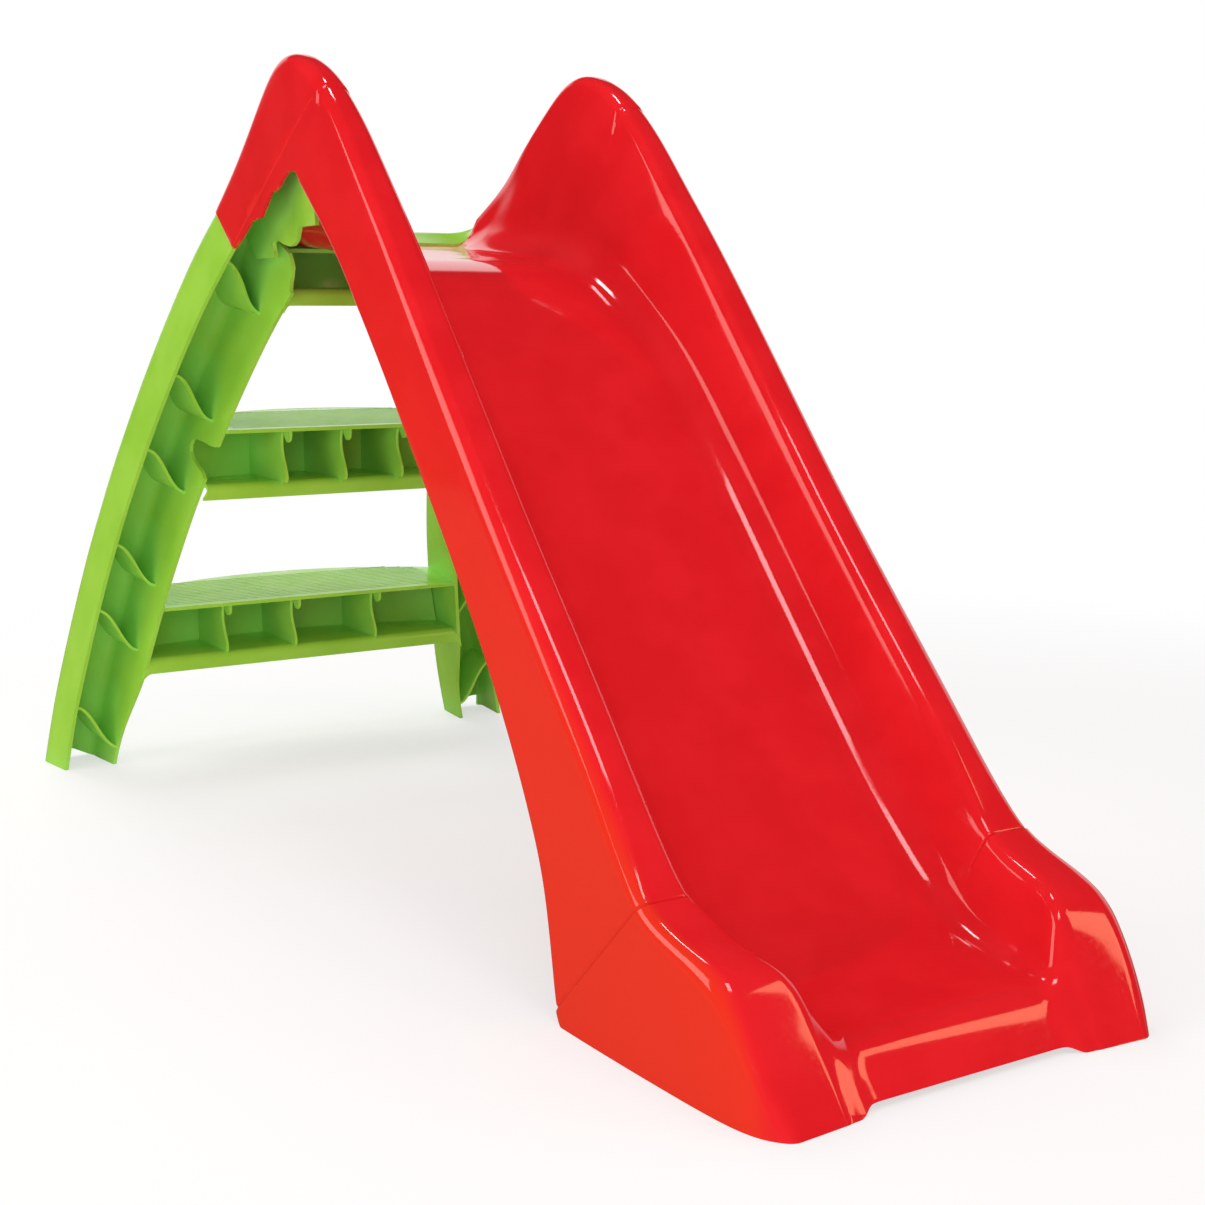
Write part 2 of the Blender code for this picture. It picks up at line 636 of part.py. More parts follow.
def top_profile(rear_y):
    """The top step: a ledge under the deck, the open tread behind it, riser, sole and lip."""
    r = TREAD_EDGE_RADIUS
    ledge = TOP_TREAD_Z - RED_WALL - GAP - 0.004
    sole = TOP_LIP_Z + LIP_HEIGHT
    front = TOP_FRONT_Y
    return [
        (front, ledge - LEDGE_DROP), (TOP_TREAD_START_Y, ledge), (TOP_TREAD_START_Y, TOP_TREAD_Z),
        (rear_y - r, TOP_REAR_Z), (rear_y - r * 0.3, TOP_REAR_Z - r * 0.3),
        (rear_y, TOP_REAR_Z - r), (rear_y, sole + r), (rear_y - r * 0.3, sole + r * 0.3),
        (rear_y - r, sole), (front + 0.040, sole), (front + 0.036, sole - 0.004),
        (front + 0.036, TOP_LIP_Z),
    ]


def top_rib_outline(rear_y):
    """A rib of the top step in side view, from the ledge and the tread down to the sole."""
    bite = GREEN_WALL * 0.6
    ledge = TOP_TREAD_Z - RED_WALL - GAP - GREEN_WALL
    sole = TOP_LIP_Z + LIP_HEIGHT + bite
    front = TOP_FRONT_Y
    start = TOP_TREAD_START_Y + GREEN_WALL / 2
    slope = LEDGE_DROP / (TOP_TREAD_START_Y - front)
    under = ledge - GREEN_WALL + bite
    return [
        (front + 0.022, under - slope * (start - front - 0.022)),
        (front + 0.026, (under + sole) / 2), (front + 0.044, sole),
        (rear_y - bite, sole), (rear_y - bite, TOP_REAR_Z - bite),
        (start + GREEN_WALL, TOP_TREAD_Z - bite), (start, TOP_TREAD_Z - bite), (start, under),
    ]


def build_top_step(parts, cutters):
    mesh = step_sheet("top_step", top_profile, TOP_REAR_BULGE, TOP_REAR_Y)
    outline = top_rib_outline(TOP_REAR_Y + TOP_REAR_BULGE * 0.5)
    ribs = [(outline, x * TOP_RIB_SPACING) for x in (-1, 0, 1)]
    build_step("top_step", mesh, ribs, parts, cutters)


def main():
    clear_scene()
    parts = new_collection("toddler_slide")
    cutters = new_collection("cutters")
    floor = build_chute(parts, cutters)
    build_stiles(parts, cutters, floor)
    build_steps(parts, cutters)


main()
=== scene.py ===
# %% [markdown]
# # A toddler slide in two glossy mouldings
# The real object is a red chute moulding that plugs onto a green ladder moulding. The frame
# holds its solids at their real size. They could be shown as they are, but a gloss surface shows
# every facet and every missing round. So this script dresses them: one smooth shell for the whole
# chute, with its witness lines and rolled edges, and one for each part of the ladder.

# %% Load the frame
import json
import math

import bmesh
import bpy
from mathutils import Matrix, Vector

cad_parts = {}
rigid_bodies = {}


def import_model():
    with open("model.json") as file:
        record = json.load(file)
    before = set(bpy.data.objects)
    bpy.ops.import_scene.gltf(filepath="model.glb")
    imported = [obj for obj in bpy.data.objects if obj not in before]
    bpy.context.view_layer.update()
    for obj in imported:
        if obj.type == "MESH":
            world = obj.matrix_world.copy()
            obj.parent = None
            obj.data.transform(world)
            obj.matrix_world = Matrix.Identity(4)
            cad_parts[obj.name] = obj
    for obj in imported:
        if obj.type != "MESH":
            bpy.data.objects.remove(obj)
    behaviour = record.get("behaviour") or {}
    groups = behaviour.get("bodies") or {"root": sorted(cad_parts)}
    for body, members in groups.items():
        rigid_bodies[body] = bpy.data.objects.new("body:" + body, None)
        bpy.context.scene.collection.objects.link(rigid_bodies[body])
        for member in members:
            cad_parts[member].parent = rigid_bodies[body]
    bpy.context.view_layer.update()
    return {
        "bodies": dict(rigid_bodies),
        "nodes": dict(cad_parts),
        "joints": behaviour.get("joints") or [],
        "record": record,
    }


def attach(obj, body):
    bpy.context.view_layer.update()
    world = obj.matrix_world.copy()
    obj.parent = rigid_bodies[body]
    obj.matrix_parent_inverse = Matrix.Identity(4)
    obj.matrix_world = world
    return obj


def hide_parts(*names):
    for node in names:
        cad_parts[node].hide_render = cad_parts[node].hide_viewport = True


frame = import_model()

# %% [markdown]
# ## Camera
# The photograph was taken from the front left and a little above the steps. A camera can be set
# by eye, but then every later shape is matched to a wrong view. Here its lens and place were
# worked out from the parallel edges of the treads, lips and rails.

# %% Camera
PHOTO_PIXELS = 1205
FOCAL_PIXELS = 1829
SENSOR_MM = 36
CAMERA_PLACE = (-0.8213, -1.4507, 0.5096)
CAMERA_TURN = -32.01
CAMERA_DOWN = 9.14

camera_data = bpy.data.cameras.new("photo_camera")
camera_data.sensor_width = SENSOR_MM
camera_data.lens = FOCAL_PIXELS / PHOTO_PIXELS * SENSOR_MM
camera = bpy.data.objects.new("photo_camera", camera_data)
camera.location = CAMERA_PLACE
camera.rotation_euler = (math.radians(90 - CAMERA_DOWN), 0, math.radians(CAMERA_TURN))
bpy.context.scene.collection.objects.link(camera)
bpy.context.scene.camera = camera
print("lens:", round(camera_data.lens, 2), "mm")

# %% [markdown]
# ## Helpers for meshes
# A moulding is a thin wall, so most pieces here start as an open sheet: rows of points, joined
# into faces. Solidify then gives the sheet its wall, and booleans trim it. A box that is hollowed
# out would also give walls, but not one wall of even thickness round every bend.

# %% Mesh helpers
def new_piece(name, mesh):
    piece = bpy.data.objects.new(name, mesh)
    bpy.context.scene.collection.objects.link(piece)
    return piece


def sheet_mesh(name, rows):
    """Joins equal rows of points into one open sheet of quads."""
    mesh = bpy.data.meshes.new(name)
    width = len(rows[0])
    faces = []
    for i in range(len(rows) - 1):
        for j in range(width - 1):
            a = i * width + j
            faces.append((a, a + width, a + width + 1, a + 1))
    mesh.from_pydata([tuple(p) for row in rows for p in row], [], faces)
    mesh.update()
    return mesh


def applied(piece):
    """The piece with its modifiers made real, as one plain mesh."""
    graph = bpy.context.evaluated_depsgraph_get()
    mesh = bpy.data.meshes.new_from_object(piece.evaluated_get(graph))
    piece.modifiers.clear()
    piece.data = mesh
    return piece


def solidify(piece, thickness, offset=-1.0, even=True):
    modifier = piece.modifiers.new("Wall", "SOLIDIFY")
    modifier.thickness = thickness
    modifier.offset = offset
    modifier.use_even_offset = even


def boolean(piece, cutter, operation):
    modifier = piece.modifiers.new(operation, "BOOLEAN")
    modifier.object = cutter
    modifier.operation = operation
    modifier.solver = "EXACT"


def bevel(piece, width, segments=2, angle=40):
    modifier = piece.modifiers.new("Edges", "BEVEL")
    modifier.width = width
    modifier.segments = segments
    modifier.limit_method = "ANGLE"
    modifier.angle_limit = math.radians(angle)
    modifier.harden_normals = False


def prism(name, outline, low, high, across="X"):
    """A flat outline given its width: in side view (y, z), or in front view (x, z)."""
    work = bmesh.new()
    ends = []
    for reach in (low, high):
        spots = [(reach, u, v) if across == "X" else (u, reach, v) for u, v in outline]
        ends.append([work.verts.new(spot) for spot in spots])
    work.faces.new(ends[0])
    work.faces.new(list(reversed(ends[1])))
    for k in range(len(outline)):
        after = (k + 1) % len(outline)
        work.faces.new((ends[0][after], ends[0][k], ends[1][k], ends[1][after]))
    bmesh.ops.recalc_face_normals(work, faces=work.faces)
    mesh = bpy.data.meshes.new(name)
    work.to_mesh(mesh)
    work.free()
    return new_piece(name, mesh)


def drop(*pieces):
    for piece in pieces:
        bpy.data.objects.remove(piece, do_unlink=True)


def ramp(value, start, end):
    """Goes from 0 to 1 between start and end, and eases in and out."""
    t = min(max((value - start) / (end - start), 0.0), 1.0)
    return t * t * (3 - 2 * t)


print("an even ramp, a quarter up:", ramp(0.25, 0, 1))

# %% [markdown]
# ## Red chute: stations
# The chute changes its section all the way: tall ears beside the deck, a deep channel down the
# slope, and low feet round the run-out. Sculpting could reach that, but a loft keeps it even and
# easy to correct. Each row below is a station that was read from the photograph, from the rear
# of the deck to the front of the feet. A smooth cubic curve through the stations gives as many
# rows as the gloss needs to look unbroken.

# %% Chute stations
# millimetres: rim y, z, floor y, z, skirt y, z, then half widths of wall foot, rim inside,
# rim outside and skirt, then radii of the floor corner, the inner rim and the outer rim
STATIONS_MM = [
    (303, 606, 303, 575, 253, 567, 104, 120, 173.2, 174.8, 40, 8, 8),
    (262, 638, 262, 571, 218, 588, 105, 129, 171.5, 174, 45, 10, 9),
    (225, 670, 225, 567, 188, 602, 105, 129, 170, 173.8, 45, 11, 10),
    (190, 704, 190, 563, 158, 616, 105, 135, 168, 173.5, 45, 12, 11),
    (160, 727.5, 162, 560, 135, 628, 105, 139, 167, 173, 45, 12, 12),
    (130, 733.5, 135, 557, 116, 631, 105, 140, 167, 173, 45, 12, 12),
    (98, 724, 105, 554, 94, 618, 105, 140, 167, 173, 45, 12, 12),
    (66, 707, 76, 549, 66, 597, 105, 140, 167, 174, 45, 12, 12),
    (25, 672, 42, 540, 34, 571, 105, 139, 168, 174.5, 43, 12, 12),
    (-20, 623, 12, 526, 1, 540, 106, 138, 169, 175, 40, 12, 12),
    (-65, 575, -24, 503, -26, 512, 108, 138, 170, 176, 36, 12, 12),
    (-123, 508, -80, 459, -73, 463, 110, 138, 171, 177, 34, 12, 12),
    (-184, 437, -141, 394, -133, 393, 111, 138, 171.5, 177.5, 33, 12, 13),
    (-250, 360, -207, 318, -198, 316, 112, 138, 172, 178, 33, 12, 14),
    (-310, 294, -268, 248, -252, 248, 112, 138, 173, 179, 33, 12, 15),
    (-360, 240, -322, 187, -293, 190, 112, 139, 174, 180, 33, 12, 16),
    (-405, 190, -372, 132, -326, 136, 112, 140, 175, 181.5, 33, 12, 16),
    (-437, 152, -412, 93, -348, 90, 113, 140, 177, 183, 32, 11, 15),
    (-463, 122, -445, 67, -363, 26, 112, 138, 179, 184, 30, 11, 10),
    (-480, 111, -472, 53, -378, -6, 110, 135, 180, 185, 28, 13, 10),
    (-500, 104, -500, 45, -425, -10, 108, 133, 180, 184.5, 27, 15, 11),
    (-525, 98, -527, 41, -485, -10, 106, 131, 179.5, 183.5, 26, 17, 12),
    (-546, 92, -552, 40, -532, -10, 102, 124, 178.5, 181.5, 24, 18, 16),
    (-563, 80, -571, 40, -561, -10, 97, 120, 176.5, 179.5, 24, 16, 16),
    (-582, 54, -586, 31, -583, -10, 92, 118, 173, 176.5, 30, 12, 15),
    (-600, 26, -597, 13, -598, -10, 87, 116, 167, 172, 45, 10, 14),
    (-620.8, -10, -611, -10, -606, -10, 82, 113, 155, 168, 60, 10, 10),
]
STATIONS = [[value / 1000 for value in row] for row in STATIONS_MM]
ROWS_PER_STATION = 7
ROWS_AT_LINES = {7: 24, 18: 30}
EAR_LINE = 7.25
FENDER_LINE = 18.4


def smooth_rows(rows, counts):
    """Rows on a cubic B-spline that passes close to the given rows, with an even curvature."""
    count = len(rows)

    def row(table, k):
        if k < 0:
            return [2 * a - b for a, b in zip(table[0], table[-k])]
        if k >= count:
            return [2 * a - b for a, b in zip(table[-1], table[2 * count - 2 - k])]
        return table[k]

    def averaged(table, k):
        near = zip(row(table, k - 1), row(table, k), row(table, k + 1))
        return [(a + 4 * b + c) / 6 for a, b, c in near]

    control = [[2 * p - q for p, q in zip(rows[k], averaged(rows, k))] for k in range(count)]
    out = []
    for k in range(count - 1):
        for step in range(counts[k]):
            t = step / counts[k]
            weights = ((1 - t) ** 3 / 6, (3 * t ** 3 - 6 * t ** 2 + 4) / 6,
                       (-3 * t ** 3 + 3 * t ** 2 + 3 * t + 1) / 6, t ** 3 / 6)
            near = [row(control, k + j - 1) for j in range(4)]
            out.append([sum(w * v for w, v in zip(weights, values)) for values in zip(*near)])
    out.append(averaged(control, count - 1))
    return out


row_counts = [ROWS_AT_LINES.get(k, ROWS_PER_STATION) for k in range(len(STATIONS) - 1)]
chute_rows = smooth_rows(STATIONS, row_counts)
row_places = [k + step / n for k, n in enumerate(row_counts) for step in range(n)]
row_places.append(len(STATIONS) - 1)
print("chute rows:", len(chute_rows))

# %% [markdown]
# ## Red chute: one section
# Half a section runs from the middle of the floor, round a wide corner up the wall, over the
# rolled rim and down the skirt, whose lower edge curls in by a few millimetres. The mould has
# separate inserts for the rear band of each ear and for each front foot, so the real surface
# steps out by about a millimetre along their lines. A painted line would show from one side only,
# so it is shape: every point carries its own step height. The feet toe in a little at the front.

# %% Chute section
RED_WALL = 0.0035
FLOOR_POINTS = 9
FLOOR_ARC_POINTS = 16
WALL_POINTS = 9
RIM_ARC_POINTS = 9
SKIRT_POINTS = 12
CURL_RADIUS = 0.0045
CURL_POINTS = 5
CURL_TURN = math.radians(75)
BAND_POINTS = 6
BAND_SHARES = (0.06, 0.94)
SKIRT_SHARE = 0.97
CURL_SHARE = 0.2
INSERT_STEP = 0.0010
INSERT_ROUND = 0.0012
LINE_GROOVE = 0.0011
EAR_CREASE = ((0.0584, 0.6974), (0.2572, 0.5668))
CREASE_SHARES = (0.02, 0.98)
PLAIN_SHARE = 0.35
NOTCH_HEM = 0.016
TOE_IN = 0.08
TOE_PIVOT = 0.168
# from where to where along the stations something starts or ends
EAR_STEP = (EAR_LINE - 0.03, EAR_LINE + 0.03)
EAR_GROOVE_HALF = 0.05
FOOT_STEP = (FENDER_LINE - 0.03, FENDER_LINE + 0.07)
FOOT_STEP_END = (19.4, 21.5)
FOOT_GROOVE_HALF = 0.06
NOTCH_HEM_END = (4.6, 6.2)
TOE_START = (22.3, 24)
# the same across a section, in metres
RIM_BAND = (0.040, 0.012)
TOE_WALL = (0.092, 0.118)
LEG_SHARE = 0.46


def arc(corner, before, after, radius, count):
    """Points that round one corner, shrunk where the legs are too short for the radius."""
    to_before = (before - corner).normalized()
    to_after = (after - corner).normalized()
    half = to_before.angle(to_after) / 2
    setback = min(radius / math.tan(half), LEG_SHARE * (before - corner).length,
                  LEG_SHARE * (after - corner).length)
    radius = setback * math.tan(half)
    centre = corner + (to_before + to_after).normalized() * (radius / math.sin(half))
    first = corner + to_before * setback - centre
    sweep = first.angle_signed(corner + to_after * setback - centre)
    return [centre + Matrix.Rotation(-sweep * k / (count - 1), 2) @ first for k in range(count)]


def above_crease(point):
    (y0, z0), (y1, z1) = EAR_CREASE
    return point.y - z0 - (point.x - y0) * (z1 - z0) / (y1 - y0)


def crease_share(rim, skirt):
    """How far down from the rim to the skirt's edge the ear's crease runs."""
    high, low = above_crease(rim), above_crease(skirt)
    if high <= low:
        return PLAIN_SHARE
    return min(max(high / (high - low), CREASE_SHARES[0]), CREASE_SHARES[1])


def step_out(place, rim_share, on_band):
    """Height of the surface over the plain shape: the inserts' steps and the groove beside them."""
    ear = on_band * (1 - ramp(place, *EAR_STEP))
    foot = ramp(place, *FOOT_STEP) * (1 - ramp(place, *FOOT_STEP_END))
    ear_groove = on_band * max(0.0, 1 - abs(place - EAR_LINE) / EAR_GROOVE_HALF)
    groove = max(0.0, 1 - abs(place - FENDER_LINE) / FOOT_GROOVE_HALF) + ear_groove
    return (INSERT_STEP * (ear + foot) - LINE_GROOVE * groove) * rim_share


print("step at the foot's line:", step_out(FOOT_STEP[1], 1.0, 0.0))

# %% [markdown]
# ## Red chute: half a section
# The section is laid out flat first, floor and wall and rim, with every corner rounded. Then each
# point is carried into the chute: what is inside leans from the floor's middle to the rim, and
# what is outside hangs from the rim to the skirt's edge. Drawing it in place would need a new
# sketch for each station.

# %% Half a section
def chute_half(station, place):
    """Points of half a section with their steps, from the middle of the floor to the curl."""
    rim = Vector(station[0:2])
    floor = Vector(station[2:4])
    skirt = Vector(station[4:6])
    foot_x, in_x, out_x, skirt_x, floor_r, in_r, out_r = station[6:]
    rise = (rim - floor).length
    drop_length = (skirt - rim).length
    centre = Vector((0.0, 0.0))
    foot = Vector((foot_x, 0.0))
    inner = Vector((in_x, rise))
    outer = Vector((out_x, rise))
    hem_drop = NOTCH_HEM * (1 - ramp(place, *NOTCH_HEM_END))
    hem = Vector((skirt_x, rise - drop_length - hem_drop))
    floor_arc = arc(foot, centre, inner, floor_r, FLOOR_ARC_POINTS)
    inner_arc = arc(inner, foot, outer, in_r, RIM_ARC_POINTS)
    outer_arc = arc(outer, inner, hem, out_r, RIM_ARC_POINTS)
    curl = min(CURL_RADIUS, drop_length * CURL_SHARE)
    straight_end = hem + (outer_arc[-1] - hem).normalized() * curl
    band_end = rise - crease_share(rim, skirt) * drop_length
    share = (outer_arc[-1].y - band_end) / (outer_arc[-1].y - straight_end.y)
    share = min(max(share, BAND_SHARES[0]), BAND_SHARES[1])
    gap = INSERT_ROUND / (outer_arc[-1] - straight_end).length
    inside = [centre.lerp(floor_arc[0], k / FLOOR_POINTS) for k in range(FLOOR_POINTS)]
    inside += floor_arc
    inside += [floor_arc[-1].lerp(inner_arc[0], k / WALL_POINTS) for k in range(1, WALL_POINTS)]
    inside += inner_arc
    shares = [share * k / BAND_POINTS for k in range(1, BAND_POINTS + 1)]
    shares += [min(share + gap, SKIRT_SHARE)]
    shares += [shares[-1] + (1 - shares[-1]) * k / SKIRT_POINTS for k in range(1, SKIRT_POINTS + 1)]
    outside = outer_arc + [outer_arc[-1].lerp(straight_end, s) for s in shares]
    on_band = [1.0] * (len(outer_arc) + BAND_POINTS) + [0.0] * (SKIRT_POINTS + 1)
    for k in range(1, CURL_POINTS + 1):
        turn = CURL_TURN * k / CURL_POINTS
        curl_point = Vector((-curl * (1 - math.cos(turn)), -curl * math.sin(turn)))
        outside.append(straight_end + curl_point)
        on_band.append(0.0)
    points = []
    toe_in = TOE_IN * ramp(place, *TOE_START)
    for p in inside:
        side = floor.lerp(rim, p.y / rise)
        near_rim = ramp(rise - p.y, *RIM_BAND)
        back = toe_in * max(TOE_PIVOT - p.x, 0.0) * ramp(p.x, *TOE_WALL)
        points.append((Vector((p.x, side.x + back, side.y)), step_out(place, near_rim, near_rim)))
    for p, band in zip(outside, on_band):
        side = rim + (skirt - rim) * ((rise - p.y) / drop_length)
        back = toe_in * max(TOE_PIVOT - p.x, 0.0)
        points.append((Vector((p.x, side.x + back, side.y)), step_out(place, 1.0, band)))
    return points


halves = [chute_half(row, place) for row, place in zip(chute_rows, row_places)]
print("points in half a section:", len(halves[0]))

# %% [markdown]
# ## Red chute: the shell
# The half sheet is mirrored, given its wall, cut level at the floor and notched under the
# handles, where the photograph shows a stepped edge beside the ladder's tongue. The notch could
# be part of the sheet, but a boolean keeps its small steps crisp.

# %% Chute shell
NOTCH = [
    (0.0600, 0.5905), (0.0970, 0.6262), (0.1000, 0.6286), (0.1040, 0.6300), (0.1200, 0.6303),
    (0.1335, 0.6236), (0.1411, 0.6179), (0.1496, 0.6148), (0.1600, 0.6141), (0.1711, 0.6033),
    (0.1843, 0.5926), (0.2096, 0.5895), (0.2368, 0.5737), (0.2530, 0.5655), (0.3000, 0.5300),
    (0.3000, 0.4600), (0.0600, 0.4600),
]
NOTCH_INSIDE = 0.150
CLEAR_OF_CHUTE = 0.25
FRONT_EDGE_RISE = 0.005
FRONT_EDGE_HALF = 0.086
FRONT_EDGE_BLEND = 0.016
FRONT_EDGE_STEPS = 8
EDGE_ROUND = 0.0005
CHUTE_SHARP = (35, 50)
MERGE_WITHIN = 0.0001


def floor_outline():
    """Front view of what is cut away under the chute, a little higher between the feet."""
    far, deep = 0.4, -0.1
    outline = [(-far, deep), (far, deep), (far, 0.0)]
    for k in range(FRONT_EDGE_STEPS + 1):
        share = k / FRONT_EDGE_STEPS
        x = FRONT_EDGE_HALF + FRONT_EDGE_BLEND * (1 - share)
        outline.append((x, FRONT_EDGE_RISE * ramp(share, 0, 1)))
    outline += [(-x, z) for x, z in reversed(outline[3:])]
    outline.append((-far, 0.0))
    return outline


def chute_shell():
    mesh = sheet_mesh("chute_shell", [[point for point, step in half] for half in halves])
    steps_out = [step for half in halves for point, step in half]
    outward = [normal.vector.copy() for normal in mesh.vertex_normals]
    for vertex, normal, step in zip(mesh.vertices, outward, steps_out):
        if step:
            vertex.co += normal * step
    piece = new_piece("chute_shell", mesh)
    mirror = piece.modifiers.new("Other half", "MIRROR")
    mirror.merge_threshold = MERGE_WITHIN
    solidify(piece, RED_WALL, even=False)
    under = prism("under", floor_outline(), -1.0, 1.0, across="Y")
    notches = [prism("notch", NOTCH, -CLEAR_OF_CHUTE, -NOTCH_INSIDE),
               prism("notch", NOTCH, NOTCH_INSIDE, CLEAR_OF_CHUTE)]
    for cutter in [under] + notches:
        boolean(piece, cutter, "DIFFERENCE")
    applied(piece)
    drop(under, *notches)
    return piece


chute = chute_shell()
chute.data.shade_smooth()
chute.data.set_sharp_from_angle(angle=math.radians(CHUTE_SHARP[0]))
bevel(chute, EDGE_ROUND)
applied(chute)
chute.data.shade_smooth()
chute.data.set_sharp_from_angle(angle=math.radians(CHUTE_SHARP[1]))
print("chute faces:", len(chute.data.polygons))

# %% [markdown]
# ## Green ladder: the stiles' lines
# Each stile is an open channel that bends like a banana: an outer wall, a web at the rear and an
# inner flange, all 4 mm thick. A bevelled curve would sweep one fixed section, but this one gets
# deeper, leans inwards as it rises and turns square to the handle at its top. So its rear edge,
# read from the photograph, is a smooth curve of its own, and the section is worked out along it.

# %% Stile lines
GREEN_WALL = 0.004
SEAM_GAP = 0.0008
STILE_REAR = [
    (0.6156, -0.020), (0.6135, 0.050), (0.604, 0.104), (0.592, 0.152), (0.578, 0.198),
    (0.562, 0.245), (0.542, 0.290), (0.520, 0.336), (0.494, 0.380), (0.466, 0.424),
    (0.436, 0.466), (0.403, 0.508), (0.367, 0.549), (0.335, 0.5795),
]
STILE_DEPTH = 0.0634
FLANGE_EXTRA = 0.030
SPREAD = {"out_front": 0.277, "out_rear": 0.2855, "in_front": 0.219, "in_rear": 0.226}
SPLAY = {"out_front": 0.180, "out_rear": 0.185, "in": 0.200}
FLANGE_STEP = 0.0165
FLANGE_STEP_Z = (0.530, 0.575)
SEAM_TURN_ROWS = 8
REAR_LEAN = 0.6
OUTER_CORNER = 0.010
INNER_CORNER = 0.013
ROWS_PER_BEND = 4

handle_rim = Vector(STATIONS[0][0:2])
handle_square = (Vector(STATIONS[0][4:6]) - handle_rim).normalized()
handle_seam = handle_rim + Vector((-handle_square.y, handle_square.x)) * SEAM_GAP


def stile_frames():
    """Rear points up a stile, each with the direction square to the rear edge."""
    rear_line = STILE_REAR + [tuple(handle_seam)]
    line = [Vector(p) for p in smooth_rows(rear_line, [ROWS_PER_BEND] * len(STILE_REAR))]
    frames = []
    for k, rear in enumerate(line):
        along = (line[min(k + 1, len(line) - 1)] - line[max(k - 1, 0)]).normalized()
        turn = ramp(k, len(line) - 1 - SEAM_TURN_ROWS, len(line) - 1)
        frames.append((rear, Vector((-along.y, along.x)).lerp(handle_square, turn).normalized()))
    frames[-1] = (handle_seam, handle_square)
    return frames


FRAMES = stile_frames()


def stile_at(z):
    """Rear point and square direction where the rear edge is at height z."""
    for (low, low_square), (high, high_square) in zip(FRAMES, FRAMES[1:]):
        if z <= high.y:
            t = (z - low.y) / (high.y - low.y)
            return low.lerp(high, t), low_square.lerp(high_square, t).normalized()
    return FRAMES[-1]


def outer_x(z, depth):
    front = SPREAD["out_front"] - SPLAY["out_front"] * z
    rear = SPREAD["out_rear"] - SPLAY["out_rear"] * z
    return rear + (front - rear) * depth / STILE_DEPTH


def inner_x(z, depth):
    """Half width over the inner flange, which steps out at the top to clear the chute's wall."""
    wider = FLANGE_STEP * ramp(z, *FLANGE_STEP_Z) + SPLAY["in"] * max(z - FLANGE_STEP_Z[1], 0)
    lean = SPREAD["in_rear"] - SPLAY["in"] * z
    return lean + wider + (SPREAD["in_front"] - SPREAD["in_rear"]) * depth / STILE_DEPTH


def flange_face_x(y, z):
    """Half width of the inner flange's face at a point in side view."""
    depth = 0.0
    for turn in range(4):
        rear, square = stile_at(z + depth * REAR_LEAN)
        depth = (Vector((y, z)) - rear).dot(square)
    return inner_x(z, depth)


def stile_spot(z, depth):
    """The point in side view at height z and a depth in from the rear edge."""
    height = z
    for turn in range(6):
        rear, square = stile_at(height)
        spot = rear + square * depth
        height += z - spot.y
    return spot


print("rows up a stile:", len(FRAMES))

# %% [markdown]
# ## Green ladder: the stiles' shells
# The channel's sheet runs round two soft corners. At the middle and the top step the inner flange
# is cut back in an S with a small lug above it, as every rib of the ladder is. The tongue that
# goes up inside the handle has a deep inner cheek, which shows through the opening below the ear.
# It tapers towards its front end, so that the chute lifts off without catching. One half of the
# ladder could mirror the other with a modifier; each stile is a piece here, so that it can be
# named, and the left one is a mirrored copy of the right one.

# %% Stile section
CORNER_POINTS = 6
FULL_FLANGE_Z = 0.150


def stile_section(rear, square):
    """The channel's section, from the outer wall's front edge round to the flange's."""
    deep = STILE_DEPTH + FLANGE_EXTRA * ramp(rear.y, 0.0, FULL_FLANGE_Z)

    def wall(wide, depth):
        return Vector((wide((rear + square * depth).y, depth), depth))

    outer_front, outer_rear = wall(outer_x, STILE_DEPTH), wall(outer_x, 0)
    inner_front, inner_rear = wall(inner_x, deep), wall(inner_x, 0)
    outer_arc = arc(outer_rear, outer_front, inner_rear, OUTER_CORNER, CORNER_POINTS)
    inner_arc = arc(inner_rear, outer_rear, inner_front, INNER_CORNER, CORNER_POINTS)
    flat = [outer_front.lerp(outer_arc[0], k / 4) for k in range(4)] + outer_arc
    flat += [outer_arc[-1].lerp(inner_arc[0], k / 4) for k in range(1, 4)] + inner_arc
    flat += [inner_arc[-1].lerp(inner_front, k / 5) for k in range(1, 6)]
    return [(p.x, *(rear + square * p.y)) for p in flat]


print("points across a stile:", len(stile_section(*FRAMES[0])))

# %% Tongue
TONGUE_PLAY = 0.001
TONGUE_INNER_PLAY = 0.007
TONGUE_DEPTH = 0.050
TONGUE_LAST_ROW = 40
TONGUE_TAPER = 0.004
TONGUE_CORNER = 0.004
TONGUE_ROOT = GREEN_WALL * 0.7
CHEEK_FOOT_Z = 0.558


def tongue_section(rear, square, outside, inside, inset):
    """The tongue's channel; its inner cheek goes down to the top of the flange."""
    cheek = (rear.y - CHEEK_FOOT_Z) / -square.y
    path = [(outside, TONGUE_DEPTH), (outside, TONGUE_DEPTH / 2),
            (outside, inset + TONGUE_CORNER), (outside - TONGUE_CORNER, inset),
            (inside + TONGUE_CORNER, inset), (inside, inset + TONGUE_CORNER),
            (inside, cheek / 2), (inside, cheek)]
    return [(x, *(rear + square * depth)) for x, depth in path]


